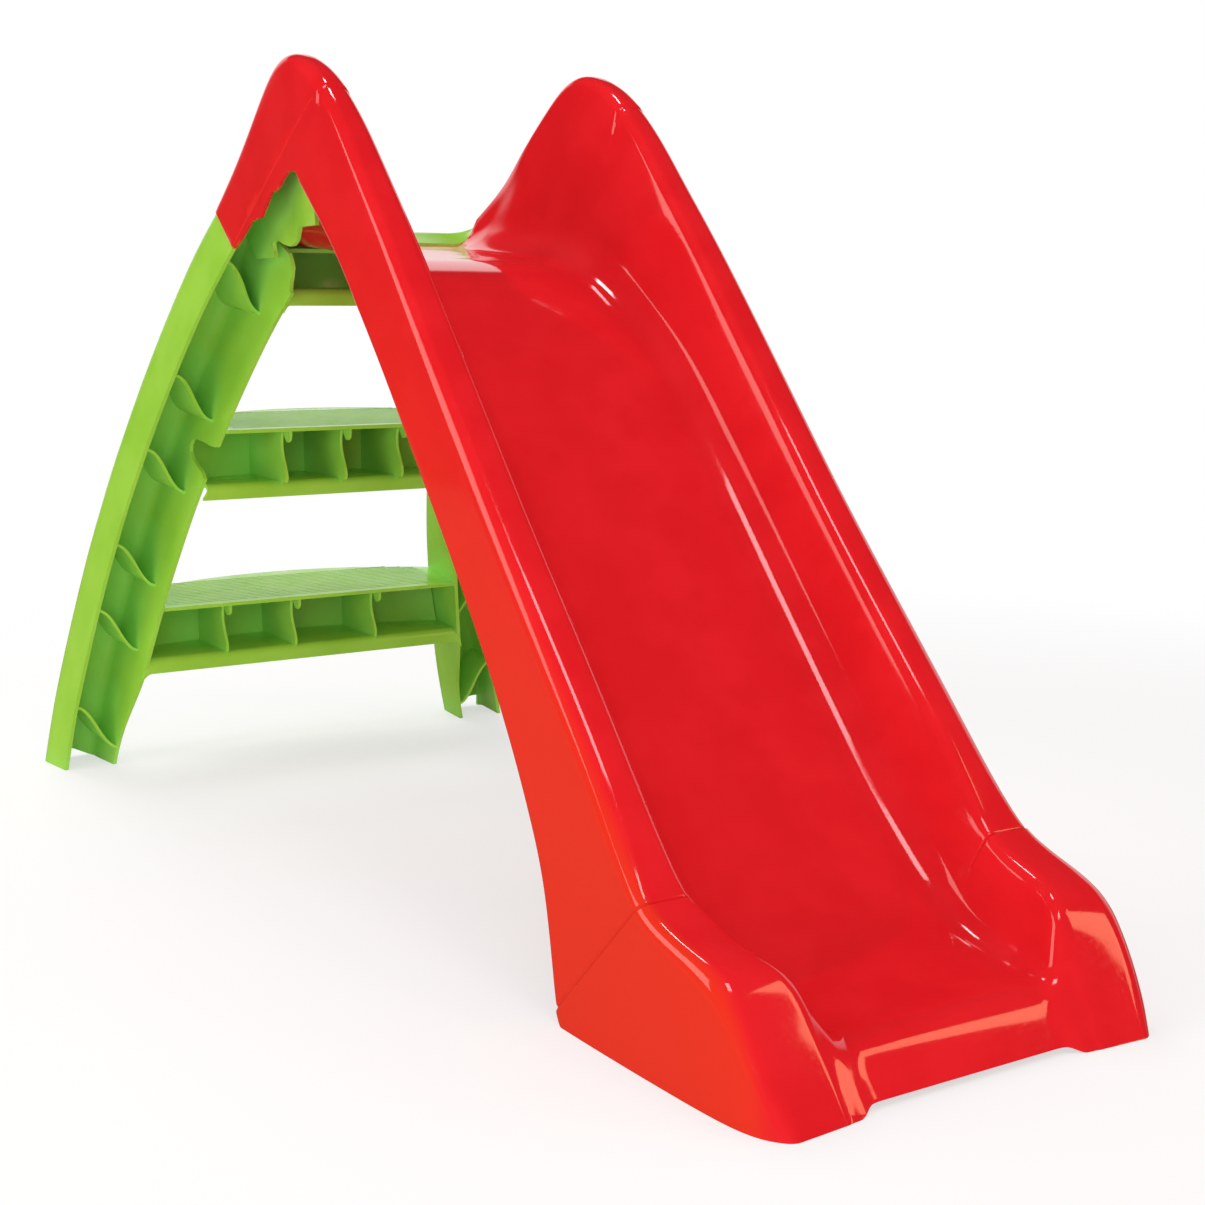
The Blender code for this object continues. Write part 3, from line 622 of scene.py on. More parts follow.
def tongue_rows():
    """From inside the top of the channel up into the hollow handle."""
    inside = STATIONS[0][7] + RED_WALL + TONGUE_INNER_PLAY
    rows = []
    for rear, square in FRAMES[-4:-1:2]:
        spot = rear + square * STILE_DEPTH
        outside = outer_x(spot.y, STILE_DEPTH) - TONGUE_ROOT
        rows.append(tongue_section(rear, square, outside, inside, TONGUE_ROOT))
    for place in range(0, TONGUE_LAST_ROW, 3):
        station = chute_rows[place]
        rim = Vector(station[0:2])
        square = (Vector(station[4:6]) - rim).normalized()
        inside = station[7] + RED_WALL + TONGUE_INNER_PLAY
        outside = station[8] - RED_WALL - TONGUE_PLAY
        inset = RED_WALL + TONGUE_PLAY + TONGUE_TAPER * place / TONGUE_LAST_ROW
        rows.append(tongue_section(rim, square, outside, inside, inset))
    return rows


print("rows along the tongue:", len(tongue_rows()))

# %% Stile shells
FOOT_ARCH = [
    (0.228, -0.1), (0.228, 0.0), (0.234, 0.0015), (0.241, 0.005), (0.249, 0.009),
    (0.258, 0.012), (0.268, 0.0135), (0.2756, 0.0135), (0.2756, -0.1),
]
FOOT_ARCH_Y = (0.598, 0.640)
MIDDLE_S_CUT_X = (0.10, 0.175)
TOP_S_CUT_X = (0.09, 0.158)
MIDDLE_S_CUT = [
    (0.350, 0.3805), (0.3775, 0.3805), (0.3800, 0.3745), (0.3860, 0.3680), (0.3951, 0.3651),
    (0.4080, 0.3662), (0.4240, 0.3690), (0.4420, 0.3712), (0.4530, 0.3700), (0.4573, 0.3640),
    (0.4560, 0.3570), (0.4480, 0.3500), (0.4340, 0.3430), (0.4222, 0.3370), (0.4150, 0.3300),
    (0.4122, 0.3210), (0.350, 0.3210),
]
TOP_S_CUT = [
    (0.050, 0.5830), (0.1570, 0.5830), (0.1610, 0.5790), (0.1700, 0.5715), (0.1800, 0.5675),
    (0.1880, 0.5668), (0.2060, 0.5695), (0.2240, 0.5735), (0.2370, 0.5745), (0.2470, 0.5715),
    (0.2495, 0.5655), (0.2480, 0.5580), (0.2490, 0.5490), (0.2535, 0.5420), (0.2575, 0.5350),
    (0.2590, 0.5280), (0.2590, 0.5245), (0.050, 0.5245),
]


def mirrored(piece, name):
    """A left-hand copy of a right-hand piece."""
    mesh = piece.data.copy()
    mesh.transform(Matrix.Scale(-1, 4, Vector((1, 0, 0))))
    mesh.flip_normals()
    return new_piece(name, mesh)


def stile_shell():
    sections = [stile_section(*frame) for frame in FRAMES]
    mesh = sheet_mesh("stile", sections)
    mesh.flip_normals()
    piece = new_piece("right_stile_shell", mesh)
    solidify(piece, GREEN_WALL)
    tongue_sheet = sheet_mesh("tongue", tongue_rows())
    tongue_sheet.flip_normals()
    tongue = new_piece("tongue", tongue_sheet)
    solidify(tongue, GREEN_WALL)
    boolean(piece, tongue, "UNION")
    cutters = [
        prism("below", [(-1, -0.2), (1, -0.2), (1, 0), (-1, 0)], -1, 1),
        prism("foot_arch", FOOT_ARCH, *FOOT_ARCH_Y, across="Y"),
        prism("middle_cut", MIDDLE_S_CUT, *MIDDLE_S_CUT_X),
        prism("top_cut", TOP_S_CUT, *TOP_S_CUT_X),
    ]
    for cutter in cutters:
        boolean(piece, cutter, "DIFFERENCE")
    applied(piece)
    drop(tongue, *cutters)
    return piece


stile = stile_shell()
print("stile faces:", len(stile.data.polygons))

# %% [markdown]
# ## Green ladder: swooping ribs
# Six thin ribs brace each channel. Seen from the front they swoop down from the outer wall to the
# flange, and they run straight back to the web, because that is how the part leaves its mould.
# No two are alike, since the channel narrows and bends, so each is a sheet from the stile's lines.

# %% Stile ribs
RIB_HEIGHTS = [0.554, 0.442, 0.363, 0.257, 0.182, 0.070]
RIB_DROP = 0.050
RIB_FRONT_DEPTH = (0.060, 0.066)
RIB_THICKNESS = 0.003
RIB_COLUMNS = 15
RIB_SPAN = 0.056
RIB_ROOT = 0.0022
RIB_CORNER = 0.010
DRAW_RISE = 0.12


def rib_sheet(z_outer):
    """Rows of points for one rib: along its rear, its middle and its front edge."""
    rows = [[], [], []]
    for k in range(RIB_COLUMNS):
        t = k / (RIB_COLUMNS - 1)
        depth = RIB_FRONT_DEPTH[0] + (RIB_FRONT_DEPTH[1] - RIB_FRONT_DEPTH[0]) * t
        front = stile_spot(z_outer - RIB_DROP * ramp(t, 0, 1), depth)
        near_wall = min(t, 1 - t) * RIB_SPAN
        root = RIB_ROOT + RIB_CORNER * (1 - min(near_wall / RIB_CORNER, 1)) ** 2
        rear = front
        for turn in range(3):
            rear = stile_spot(front.y + (rear.x - front.x) * DRAW_RISE, root)
        spots = ((rear, root), (rear.lerp(front, 0.5), depth / 2), (front, depth))
        for row, (spot, deep) in zip(rows, spots):
            outer = outer_x(spot.y, deep) - GREEN_WALL * 0.5
            inner = inner_x(spot.y, deep) + GREEN_WALL * 0.5
            row.append((outer + (inner - outer) * t, spot.x, spot.y))
    return rows


def stile_ribs():
    pieces = []
    for number, height in enumerate(RIB_HEIGHTS):
        rib = new_piece(f"right_rib_{number + 1}", sheet_mesh("rib", rib_sheet(height)))
        solidify(rib, RIB_THICKNESS, 0.0)
        applied(rib)
        pieces.append(rib)
    return pieces


ribs = stile_ribs()
print("ribs in a stile:", len(ribs))

# %% [markdown]
# ## Green ladder: the steps
# A step is one bowed sheet: a tread that rises to the rear, a rear riser, a sole and a front lip.
# Extruding one profile would leave its ends square, but the stiles lean, so every profile point
# is carried out to the flange at its own height. Its lip widens there in a small fillet. The top
# step has a lower ledge for the chute's deck, and its tread sweeps up at the ends to the handles.

# %% Steps
# front y and z, rear y at the ends, bow, how far back the lip is, fillet, places of the ribs
STEPS = {
    "lower_step": (0.487, 0.184, 0.574, 0.037, 0.023, 0.0070, (-0.100, -0.017, 0.084)),
    "middle_step": (0.378, 0.384, 0.478, 0.036, 0.036, 0.0000, (-0.067, 0.002, 0.070)),
}
STEP_HEIGHT = 0.076
TREAD_RISE = 0.014
TREAD_SHARES = (0, 0.03, 0.2, 0.4, 0.6, 0.8)
TREAD_EDGE_RADIUS = 0.006
LIP_HEIGHT = 0.013
LIP_EDGE_RADIUS = 0.0045
LIP_EDGE = 0.002
TOP_FILLET = 0.007
TOP_FRONT_Y = 0.236
TOP_TREAD_START_Y = 0.3036
TOP_TREAD_Z = 0.577
TOP_TREAD_SHARES = (0, 0.25, 0.5, 0.75)
TOP_REAR_Z = 0.592
TOP_REAR_Y = 0.330
TOP_REAR_BULGE = 0.034
TOP_LIP_Z = 0.512
TOP_LIP_BACK = 0.036
TOP_LEDGE_BACK = (0.046, 0.055)
TOP_LEDGE_PLAY = 0.0043
TOP_LEDGE_SAG = 0.001
TOP_LEDGE_GAP = 0.001


def rounded(corner, before, after, radius, count=5):
    return arc(Vector(corner), Vector(before), Vector(after), radius, count)


def along(first, last, shares):
    return [Vector(first).lerp(Vector(last), share) for share in shares]


def riser_and_lip(before, top, lip_y, lip_z, lower, sole_shares=()):
    """The rounded rear of a step, its sole and its lip, which follow its tread."""
    low, lip = (top[0], lip_z + LIP_HEIGHT), (lip_y, lip_z + LIP_HEIGHT)
    points = rounded(top, before, low, TREAD_EDGE_RADIUS)
    points += rounded(low, top, lip, TREAD_EDGE_RADIUS) + along(low, lip, sole_shares)
    points += rounded(lip, low, (lip_y, lip_z - LIP_HEIGHT), LIP_EDGE_RADIUS)
    return points + [Vector((lip_y, lip_z + LIP_EDGE)), Vector((lip_y, lip_z - lower))]


def step_profile(front_y, front_z, rear_y, lip_back, rise, lower):
    """Open profile in side view; rise is the tread's slope, lower the fillet's drop here."""
    front, top = (front_y, front_z), (rear_y, front_z + rise * (rear_y - front_y))
    lip_y, lip_z = front_y + lip_back, front_z - STEP_HEIGHT
    return (along(front, top, TREAD_SHARES)
            + riser_and_lip(front, top, lip_y, lip_z, lower, (0.5,)))


def top_profile(rear_y, lower):
    """The top step: the deck's ledge, the open tread behind it, riser, sole and lip."""
    ledge = TOP_TREAD_Z - RED_WALL - TOP_LEDGE_PLAY
    start, top = (TOP_TREAD_START_Y, TOP_TREAD_Z), (rear_y, TOP_REAR_Z)
    points = [Vector((TOP_FRONT_Y + TOP_LEDGE_BACK[0], ledge - TOP_LEDGE_SAG)),
              Vector((TOP_FRONT_Y + TOP_LEDGE_BACK[1], ledge - TOP_LEDGE_SAG / 2)),
              Vector((TOP_TREAD_START_Y - TOP_LEDGE_GAP, ledge))]
    points += along(start, top, TOP_TREAD_SHARES)
    return points + riser_and_lip(start, top, TOP_FRONT_Y + TOP_LIP_BACK, TOP_LIP_Z, lower)


print("points in the top step's profile:", len(top_profile(TOP_REAR_Y, 0)))

# %% [markdown]
# ## Green ladder: from profile to step
# The profile is repeated at places along the width, closer together near the ends, where the
# shape changes most. The rear edge bows out in the middle. Three ribs stiffen each of the two
# lower steps; each is a flat plate, so its outline only needs its width.

# %% Step shells
HALF_SPAN = [0.13, 0.26, 0.4, 0.54, 0.66, 0.76, 0.84, 0.9, 0.94, 0.96, 0.974, 0.984, 0.992, 1]
SPAN = [-u for u in reversed(HALF_SPAN)] + [0.0] + HALF_SPAN
FILLET_SHARE = 0.045
END_BITE = 0.0006
LIP_ZONE = 0.004
LIP_OVERLAP = 0.0034
TOP_SWEEP_UP = 0.026
TOP_SWEEP_WIDTH = 0.034
TOP_END_TUCK = 0.008
TOP_TUCK_Z = (0.558, 0.580)
RIB_BOW_HALF = 0.16
RIB_END_INSET = 0.002
RIB_TOP_END = (0.008, 0.001)
STEP_RIB_CURVE = [
    (0.0045, 0.073), (0.0048, 0.067), (0.0065, 0.0625), (0.0100, 0.0600), (0.0145, 0.0600),
    (0.0185, 0.0640), (0.0225, 0.0690), (0.0265, 0.0700), (0.0292, 0.0665), (0.0305, 0.0600),
    (0.0302, 0.0500), (0.0270, 0.0420), (0.0225, 0.0340), (0.0190, 0.0270), (0.0178, 0.0215),
    (0.0195, 0.0165), (0.0230, 0.0150),
]


def step_shell(name, profile, rear_y, bulge, tread_z, fillet, sweep=0.0):
    rows = []
    for u in SPAN:
        end = max(0.0, 1 - (1 - abs(u)) / FILLET_SHARE) ** 2
        row = []
        for y, z in profile(rear_y + bulge * (1 - u * u), fillet * end):
            highest = z + GREEN_WALL if z < tread_z else z
            reach = flange_face_x(min(y, rear_y), highest) + END_BITE
            if z < profile(rear_y, 0)[-1][1] + LIP_ZONE:
                reach += LIP_OVERLAP
            lift = 0.0
            if sweep:
                reach += TOP_END_TUCK * ramp(y, TOP_TREAD_START_Y, rear_y) * ramp(z, *TOP_TUCK_Z)
            if sweep and z > tread_z:
                side = max(0.0, abs(u) * reach - (reach - TOP_SWEEP_WIDTH)) / TOP_SWEEP_WIDTH
                lift = sweep * side * side * (1 - 0.5 * ramp(y, TOP_TREAD_START_Y, rear_y))
            row.append((u * reach, y, z + lift))
        rows.append(row)
    piece = new_piece(name, sheet_mesh(name, rows))
    solidify(piece, GREEN_WALL, even=False)
    return applied(piece)


def step_rib_outline(front_y, front_z, rear_y):
    """A rib in side view: a lug under the tread's edge, then an S down to the sole."""
    lip_z = front_z - STEP_HEIGHT
    points = [(front_y + y, lip_z + z) for y, z in STEP_RIB_CURVE]
    rear, top = rear_y - RIB_END_INSET, front_z + TREAD_RISE - GREEN_WALL
    return points + [(rear, lip_z + LIP_HEIGHT + RIB_END_INSET), (rear, top),
                     (rear - RIB_TOP_END[0], top - RIB_TOP_END[1])]


print("profiles across a step:", len(SPAN))

# %% Steps in place
steps = {}
for step_name, (front_y, front_z, rear_y, bulge, lip_back, fillet, rib_places) in STEPS.items():
    tread_rise = TREAD_RISE / (rear_y + bulge - front_y)

    def profile(rear, lower, y=front_y, z=front_z, back=lip_back, rise=tread_rise):
        return step_profile(y, z, rear, back, rise, lower)

    shell = step_shell(step_name + "_shell", profile, rear_y, bulge, front_z - GREEN_WALL, fillet)
    plates = []
    for number, x in enumerate(rib_places):
        rear_here = rear_y + bulge * (1 - (x / RIB_BOW_HALF) ** 2)
        outline = step_rib_outline(front_y, front_z, rear_here)
        plates.append(prism(f"{step_name}_rib_{number + 1}", outline, x - RIB_THICKNESS / 2,
                            x + RIB_THICKNESS / 2))
    steps[step_name] = [shell] + plates
top_shell = step_shell("top_step_shell", top_profile, TOP_REAR_Y, TOP_REAR_BULGE,
                       TOP_TREAD_Z - GREEN_WALL, TOP_FILLET, TOP_SWEEP_UP)
steps["top_step"] = [top_shell]
print("step pieces:", {name: len(pieces) for name, pieces in steps.items()})

# %% [markdown]
# ## One helper for nodes
# Ridges, plastics, floor and room are all trees of nodes. Each node could be written out in four
# or five lines, or every kind could have a helper of its own, but then a reader learns the helpers
# and not the nodes. So one function adds any node by its real name, sets it and links it.

# %% Node helper
def node_of(tree, kind, settings=(), links=()):
    """Adds one node, sets its properties and inputs, and links outputs into its inputs."""
    node = tree.nodes.new(kind)
    for name, value in dict(settings).items():
        if isinstance(name, str) and hasattr(node, name):
            setattr(node, name, value)
        else:
            node.inputs[name].default_value = value
    for name, output in dict(links).items():
        tree.links.new(output, node.inputs[name])
    return node


print("node helper:", node_of.__doc__)

# %% [markdown]
# ## Green ladder: anti-slip ridges
# The two lower treads carry fine ridges along their width, moulded in so that small shoes grip.
# A bump in the material could draw them, but they catch the light at the tread's edge, so they
# are shape. They repeat at one spacing and get shorter where the tread's rear edge bows, so they
# follow a rule: a Geometry Nodes tree sets a line of points, gives each a bar cut to the bow, and
# makes them real.

# %% Anti-slip ridges
RIDGE_SPACING = 0.0062
RIDGE_WIDTH = 0.0040
RIDGE_HEIGHT = 0.00016
RIDGE_SIDES = 8
RIDGE_FRONT_MARGIN = 0.013
RIDGE_END_MARGIN = 0.010
LEAST_BOW = 0.04
RIDGE_INPUTS = ["Count", "Spacing", "First Y", "First Z", "Rise", "Half Width", "Rear Y", "Bulge"]


def ridge_tree():
    tree = bpy.data.node_groups.new("Ridges along a bowed tread", "GeometryNodeTree")
    tree.interface.new_socket("Geometry", in_out="OUTPUT", socket_type="NodeSocketGeometry")
    for name in RIDGE_INPUTS:
        kind = "NodeSocketInt" if name == "Count" else "NodeSocketFloat"
        tree.interface.new_socket(name, in_out="INPUT", socket_type=kind)
    tree.interface.new_socket("Material", in_out="INPUT", socket_type="NodeSocketMaterial")
    given = node_of(tree, "NodeGroupInput").outputs
    # a line of points up the tread's slope
    start = node_of(tree, "ShaderNodeCombineXYZ", {}, {
        "Y": given["First Y"], "Z": given["First Z"]})
    rise = node_of(tree, "ShaderNodeMath", {"operation": "MULTIPLY"}, {
        0: given["Spacing"], 1: given["Rise"]})
    offset = node_of(tree, "ShaderNodeCombineXYZ", {}, {
        "Y": given["Spacing"], "Z": rise.outputs[0]})
    line = node_of(tree, "GeometryNodeMeshLine", {}, {
        "Count": given["Count"], "Start Location": start.outputs[0], "Offset": offset.outputs[0]})
    # how wide the bowed tread still is at each point
    place = node_of(tree, "ShaderNodeSeparateXYZ", {}, {
        "Vector": node_of(tree, "GeometryNodeInputPosition").outputs[0]})
    behind = node_of(tree, "ShaderNodeMath", {"operation": "SUBTRACT"}, {
        0: place.outputs["Y"], 1: given["Rear Y"]})
    on_bow = node_of(tree, "ShaderNodeMath", {"operation": "MAXIMUM", 1: 0.0}, {
        0: behind.outputs[0]})
    share = node_of(tree, "ShaderNodeMath", {"operation": "DIVIDE"}, {
        0: on_bow.outputs[0], 1: given["Bulge"]})
    left = node_of(tree, "ShaderNodeMath", {"operation": "SUBTRACT", 0: 1.0}, {
        1: share.outputs[0]})
    enough = node_of(tree, "ShaderNodeMath", {"operation": "MAXIMUM", 1: LEAST_BOW}, {
        0: left.outputs[0]})
    root = node_of(tree, "ShaderNodeMath", {"operation": "SQRT"}, {0: enough.outputs[0]})
    reach = node_of(tree, "ShaderNodeMath", {"operation": "MULTIPLY"}, {
        0: given["Half Width"], 1: root.outputs[0]})
    half = node_of(tree, "ShaderNodeMath", {"operation": "SUBTRACT", 1: RIDGE_END_MARGIN}, {
        0: reach.outputs[0]})
    # a lying bar for each point
    size = node_of(tree, "ShaderNodeCombineXYZ", {"Y": RIDGE_WIDTH / 2, "Z": RIDGE_HEIGHT}, {
        "X": half.outputs[0]})
    bar = node_of(tree, "GeometryNodeMeshCylinder", {
        "Vertices": RIDGE_SIDES, "Radius": 1.0, "Depth": 2.0})
    lying = node_of(tree, "GeometryNodeTransform", {"Rotation": (0, math.pi / 2, 0)}, {
        "Geometry": bar.outputs["Mesh"]})
    bars = node_of(tree, "GeometryNodeInstanceOnPoints", {}, {
        "Points": line.outputs["Mesh"], "Instance": lying.outputs["Geometry"],
        "Scale": size.outputs[0]})
    real = node_of(tree, "GeometryNodeRealizeInstances", {}, {"Geometry": bars.outputs[0]})
    painted = node_of(tree, "GeometryNodeSetMaterial", {}, {
        "Geometry": real.outputs[0], "Material": given["Material"]})
    node_of(tree, "NodeGroupOutput", {}, {"Geometry": painted.outputs[0]})
    return tree


def ridges(name, tree, values, material):
    piece = new_piece(name, bpy.data.meshes.new(name))
    modifier = piece.modifiers.new("Ridges", "NODES")
    modifier.node_group = tree
    values = dict(values, Material=material)
    for socket in tree.interface.items_tree:
        if socket.in_out == "INPUT":
            modifier[socket.identifier] = values[socket.name]
    return applied(piece)


tread_ridges = ridge_tree()
print("nodes in the ridge tree:", len(tread_ridges.nodes))

# %% [markdown]
# ## Materials: what moulded plastic shows
# Both mouldings are coloured right through, so there is no paint and no clear coat: the colour is
# deep and even, and the polished mould gives a wet gloss. What keeps it from looking like a flat
# colour is small: slow ripples where the wall shrank as it cooled, a faint swirl of pigment, and
# fine rub marks along the slope where trousers polish it dull.

# %% Colours and nodes
def hex_colour(text):
    """An sRGB hex colour as linear red, green, blue and alpha."""
    values = [int(text[k:k + 2], 16) / 255 for k in (1, 3, 5)]
    linear = [v / 12.92 if v <= 0.04045 else ((v + 0.055) / 1.055) ** 2.4 for v in values]
    return (*linear, 1.0)


# for a range that eases in and out at its ends
SOFTLY = {"interpolation_type": "SMOOTHSTEP"}


def new_material(name):
    material = bpy.data.materials.new(name)
    material.use_nodes = True
    return material, material.node_tree, material.node_tree.nodes["Principled BSDF"]


print("middle grey in linear values:", round(hex_colour("#808080")[0], 3))

# %% [markdown]
# ## Finishes that both mouldings share
# Every moulding has pigment that swirled as it flowed, a gloss that wear or the tool made uneven,
# and a surface that isn't quite flat. Each is a few nodes on noise in object space, at its real
# size, so the three can be set for either plastic.

# %% Shared finishes
SWIRL_RANGE = (0.35, 0.65)
RIPPLE_SIZE = 0.030
RIPPLE_DEPTH = 0.00004


def swirled(tree, place, size, first, second):
    """Two close colours in slow swirls, as the pigment flowed into the mould."""
    flow = node_of(tree, "ShaderNodeTexNoise", {"Scale": 1 / size, "Detail": 3.0}, {
        "Vector": place})
    share = node_of(tree, "ShaderNodeMapRange", {
        **SOFTLY, "From Min": SWIRL_RANGE[0],
        "From Max": SWIRL_RANGE[1]}, {"Value": flow.outputs["Fac"]})
    mix = node_of(tree, "ShaderNodeMix", {
        "data_type": "RGBA", 6: hex_colour(first), 7: hex_colour(second)}, {
        0: share.outputs["Result"]})
    return mix.outputs[2]


def uneven_gloss(tree, place, scale, source, roughness):
    """Roughness that goes from the mould's polish to its dullest patches."""
    patches = node_of(tree, "ShaderNodeTexNoise", {"Scale": scale, "Detail": 2.0}, {
        "Vector": place})
    dull = node_of(tree, "ShaderNodeMapRange", {
        **SOFTLY, "From Min": source[0], "From Max": source[1],
        "To Min": roughness[0], "To Max": roughness[1]}, {"Value": patches.outputs["Fac"]})
    return dull.outputs["Result"]


def uneven_surface(tree, place, size, depth, under=()):
    """Bumps of one size and depth, on top of others where they are given."""
    waves = node_of(tree, "ShaderNodeTexNoise", {"Scale": 1 / size, "Detail": 1.0}, {
        "Vector": place})
    bump = node_of(tree, "ShaderNodeBump", {"Strength": 1.0, "Distance": depth}, {
        "Height": waves.outputs["Fac"], **dict(under)})
    return bump.outputs[0]


print("ripples in mm:", RIPPLE_SIZE * 1000, "long and", RIPPLE_DEPTH * 1000, "deep")

# %% [markdown]
# ## Red: high-density polyethylene, blow moulded against a polished mould
# The chute's wall lets some light through. Subsurface light would show that too, but slowly and
# with more noise, so that light is painted: the thin skirt's red is painted a little more orange
# towards the white floor, for the floor's light that comes through the wall.
# It is coolest and deepest in the channel. Trousers leave fine rub marks down the slope.

# %% Red moulding
RED_IOR = 1.51
RED_ROUGHNESS = (0.055, 0.13)
RED_SWIRL_SIZE = 0.055
RUB_LENGTH = 0.090
RUB_WIDTH = 0.0016
RUB_RANGE = (0.45, 0.75)
SLOPE_TURN = math.radians(48)
SKIRT_X = (0.166, 0.176)
SKIRT_Z = (0.62, 0.10)
HIGH_SKIRT_SHARE = 0.25


def polished_red_polyethylene():
    material, tree, shader = new_material("polished_red_polyethylene")
    place = node_of(tree, "ShaderNodeTexCoord").outputs["Object"]
    # painted light: the skirt is painted more orange the nearer it is to the floor, for floor light
    # through its thin wall
    spot = node_of(tree, "ShaderNodeSeparateXYZ", {}, {"Vector": place})
    wide = node_of(tree, "ShaderNodeMath", {"operation": "ABSOLUTE"}, {0: spot.outputs["X"]})
    outside = node_of(tree, "ShaderNodeMapRange", {
        **SOFTLY, "From Min": SKIRT_X[0], "From Max": SKIRT_X[1]}, {
        "Value": wide.outputs[0]})
    low = node_of(tree, "ShaderNodeMapRange", {
        **SOFTLY, "From Min": SKIRT_Z[0], "From Max": SKIRT_Z[1],
        "To Min": HIGH_SKIRT_SHARE}, {"Value": spot.outputs["Z"]})
    floor_glow = node_of(tree, "ShaderNodeMath", {"operation": "MULTIPLY"}, {
        0: outside.outputs["Result"], 1: low.outputs["Result"]})
    colour = node_of(tree, "ShaderNodeMix", {"data_type": "RGBA", 7: hex_colour("#DA2E1D")}, {
        0: floor_glow.outputs[0], 6: swirled(tree, place, RED_SWIRL_SIZE, "#D81B22", "#DE1F26")})
    # rub marks, long and thin down the slope
    along = node_of(tree, "ShaderNodeMapping", {
        "Scale": (1 / RUB_WIDTH, 1 / RUB_WIDTH, 1 / RUB_LENGTH), "Rotation": (SLOPE_TURN, 0, 0)}, {
        "Vector": place})
    rubs = uneven_gloss(tree, along.outputs[0], 1.0, RUB_RANGE, RED_ROUGHNESS)
    tree.links.new(colour.outputs[2], shader.inputs["Base Color"])
    tree.links.new(rubs, shader.inputs["Roughness"])
    tree.links.new(uneven_surface(tree, place, RIPPLE_SIZE, RIPPLE_DEPTH), shader.inputs["Normal"])
    shader.inputs["IOR"].default_value = RED_IOR
    return material


red = polished_red_polyethylene()
print("red nodes:", len(red.node_tree.nodes))

# %% [markdown]
# ## Green: polypropylene, injection moulded
# The ladder's mould is less polished than the chute's, so its shine is broader. The inside of the
# channels keeps the fine grain of the spark-eroded tool; the real grain is 0.2 mm and is drawn at
# 0.9 mm to show at all. Light bounces about inside a hollow and comes through its thin walls. A
# render gives it few bounces, so a lighter, cooler green makes up for them where a point is
# closed in.

# %% Green moulding
GREEN_IOR = 1.49
GREEN_ROUGHNESS = (0.16, 0.26)
GREEN_SWIRL_SIZE = 0.070
PATCH_SIZE = 0.020
PATCH_RANGE = (0.35, 0.70)
GRAIN_SIZE = 0.0009
GRAIN_DEPTH = 0.00001
HOLLOW_REACH = 0.055
HOLLOW_RANGE = (0.30, 0.85)


def satin_green_polypropylene():
    material, tree, shader = new_material("satin_green_polypropylene")
    place = node_of(tree, "ShaderNodeTexCoord").outputs["Object"]
    hollow = node_of(tree, "ShaderNodeAmbientOcclusion", {"samples": 6, "Distance": HOLLOW_REACH})
    openness = node_of(tree, "ShaderNodeMapRange", {
        **SOFTLY, "From Min": HOLLOW_RANGE[0],
        "From Max": HOLLOW_RANGE[1]}, {"Value": hollow.outputs["AO"]})
    colour = node_of(tree, "ShaderNodeMix", {"data_type": "RGBA", 6: hex_colour("#9EE766")}, {
        0: openness.outputs["Result"],
        7: swirled(tree, place, GREEN_SWIRL_SIZE, "#93CB3E", "#9CD246")})
    patches = uneven_gloss(tree, place, 1 / PATCH_SIZE, PATCH_RANGE, GREEN_ROUGHNESS)
    grain = uneven_surface(tree, place, GRAIN_SIZE, GRAIN_DEPTH)
    ripples = uneven_surface(tree, place, RIPPLE_SIZE, RIPPLE_DEPTH, {"Normal": grain})
    tree.links.new(colour.outputs[2], shader.inputs["Base Color"])
    tree.links.new(patches, shader.inputs["Roughness"])
    tree.links.new(ripples, shader.inputs["Normal"])
    shader.inputs["IOR"].default_value = GREEN_IOR
    return material


green = satin_green_polypropylene()
print("green nodes:", len(green.node_tree.nodes))

# %% [markdown]
# ## Ridges and materials in place
# The ridges are made last of the shapes, because their tree also sets their material. Every
# other piece is one plastic right through, so it gets a single slot.

# %% Ridges and materials
for step_name, numbers in STEPS.items():
    front_y, front_z, rear_y, bulge = numbers[:4]
    depth = rear_y + bulge - front_y
    rise = TREAD_RISE / depth
    first = front_y + RIDGE_FRONT_MARGIN
    steps[step_name].append(ridges(step_name + "_ridges", tread_ridges, {
        "Count": int((depth - 2 * RIDGE_FRONT_MARGIN) / RIDGE_SPACING), "Spacing": RIDGE_SPACING,
        "First Y": first, "First Z": front_z + rise * RIDGE_FRONT_MARGIN, "Rise": rise,
        "Half Width": flange_face_x(front_y, front_z), "Rear Y": rear_y, "Bulge": bulge}, green))
green_pieces = [stile] + ribs + [piece for pieces in steps.values() for piece in pieces]
for piece in [chute] + green_pieces:
    piece.data.materials.clear()
    piece.data.materials.append(red if piece == chute else green)
print("green pieces:", len(green_pieces))

# %% [markdown]
# ## Floor and backdrop
# The photograph has a white sweep with no horizon. A bent backdrop could be built, but it would
# show in the gloss from every side. So the floor is flat: matt white round the slide, where it
# keeps the shadow, and plain white further out, where it meets the white world. Gloss mirrors it
# dimmer and warmer, as a floor with the lamps flagged off it.

# %% Floor
FLOOR_HALF = 9.0
FLOOR_FADE = (0.75, 1.9)
NEAR_WHITE = 0.60
FLOOR_IN_GLOSS = 0.22
FLOOR_ROUGHNESS = 0.9


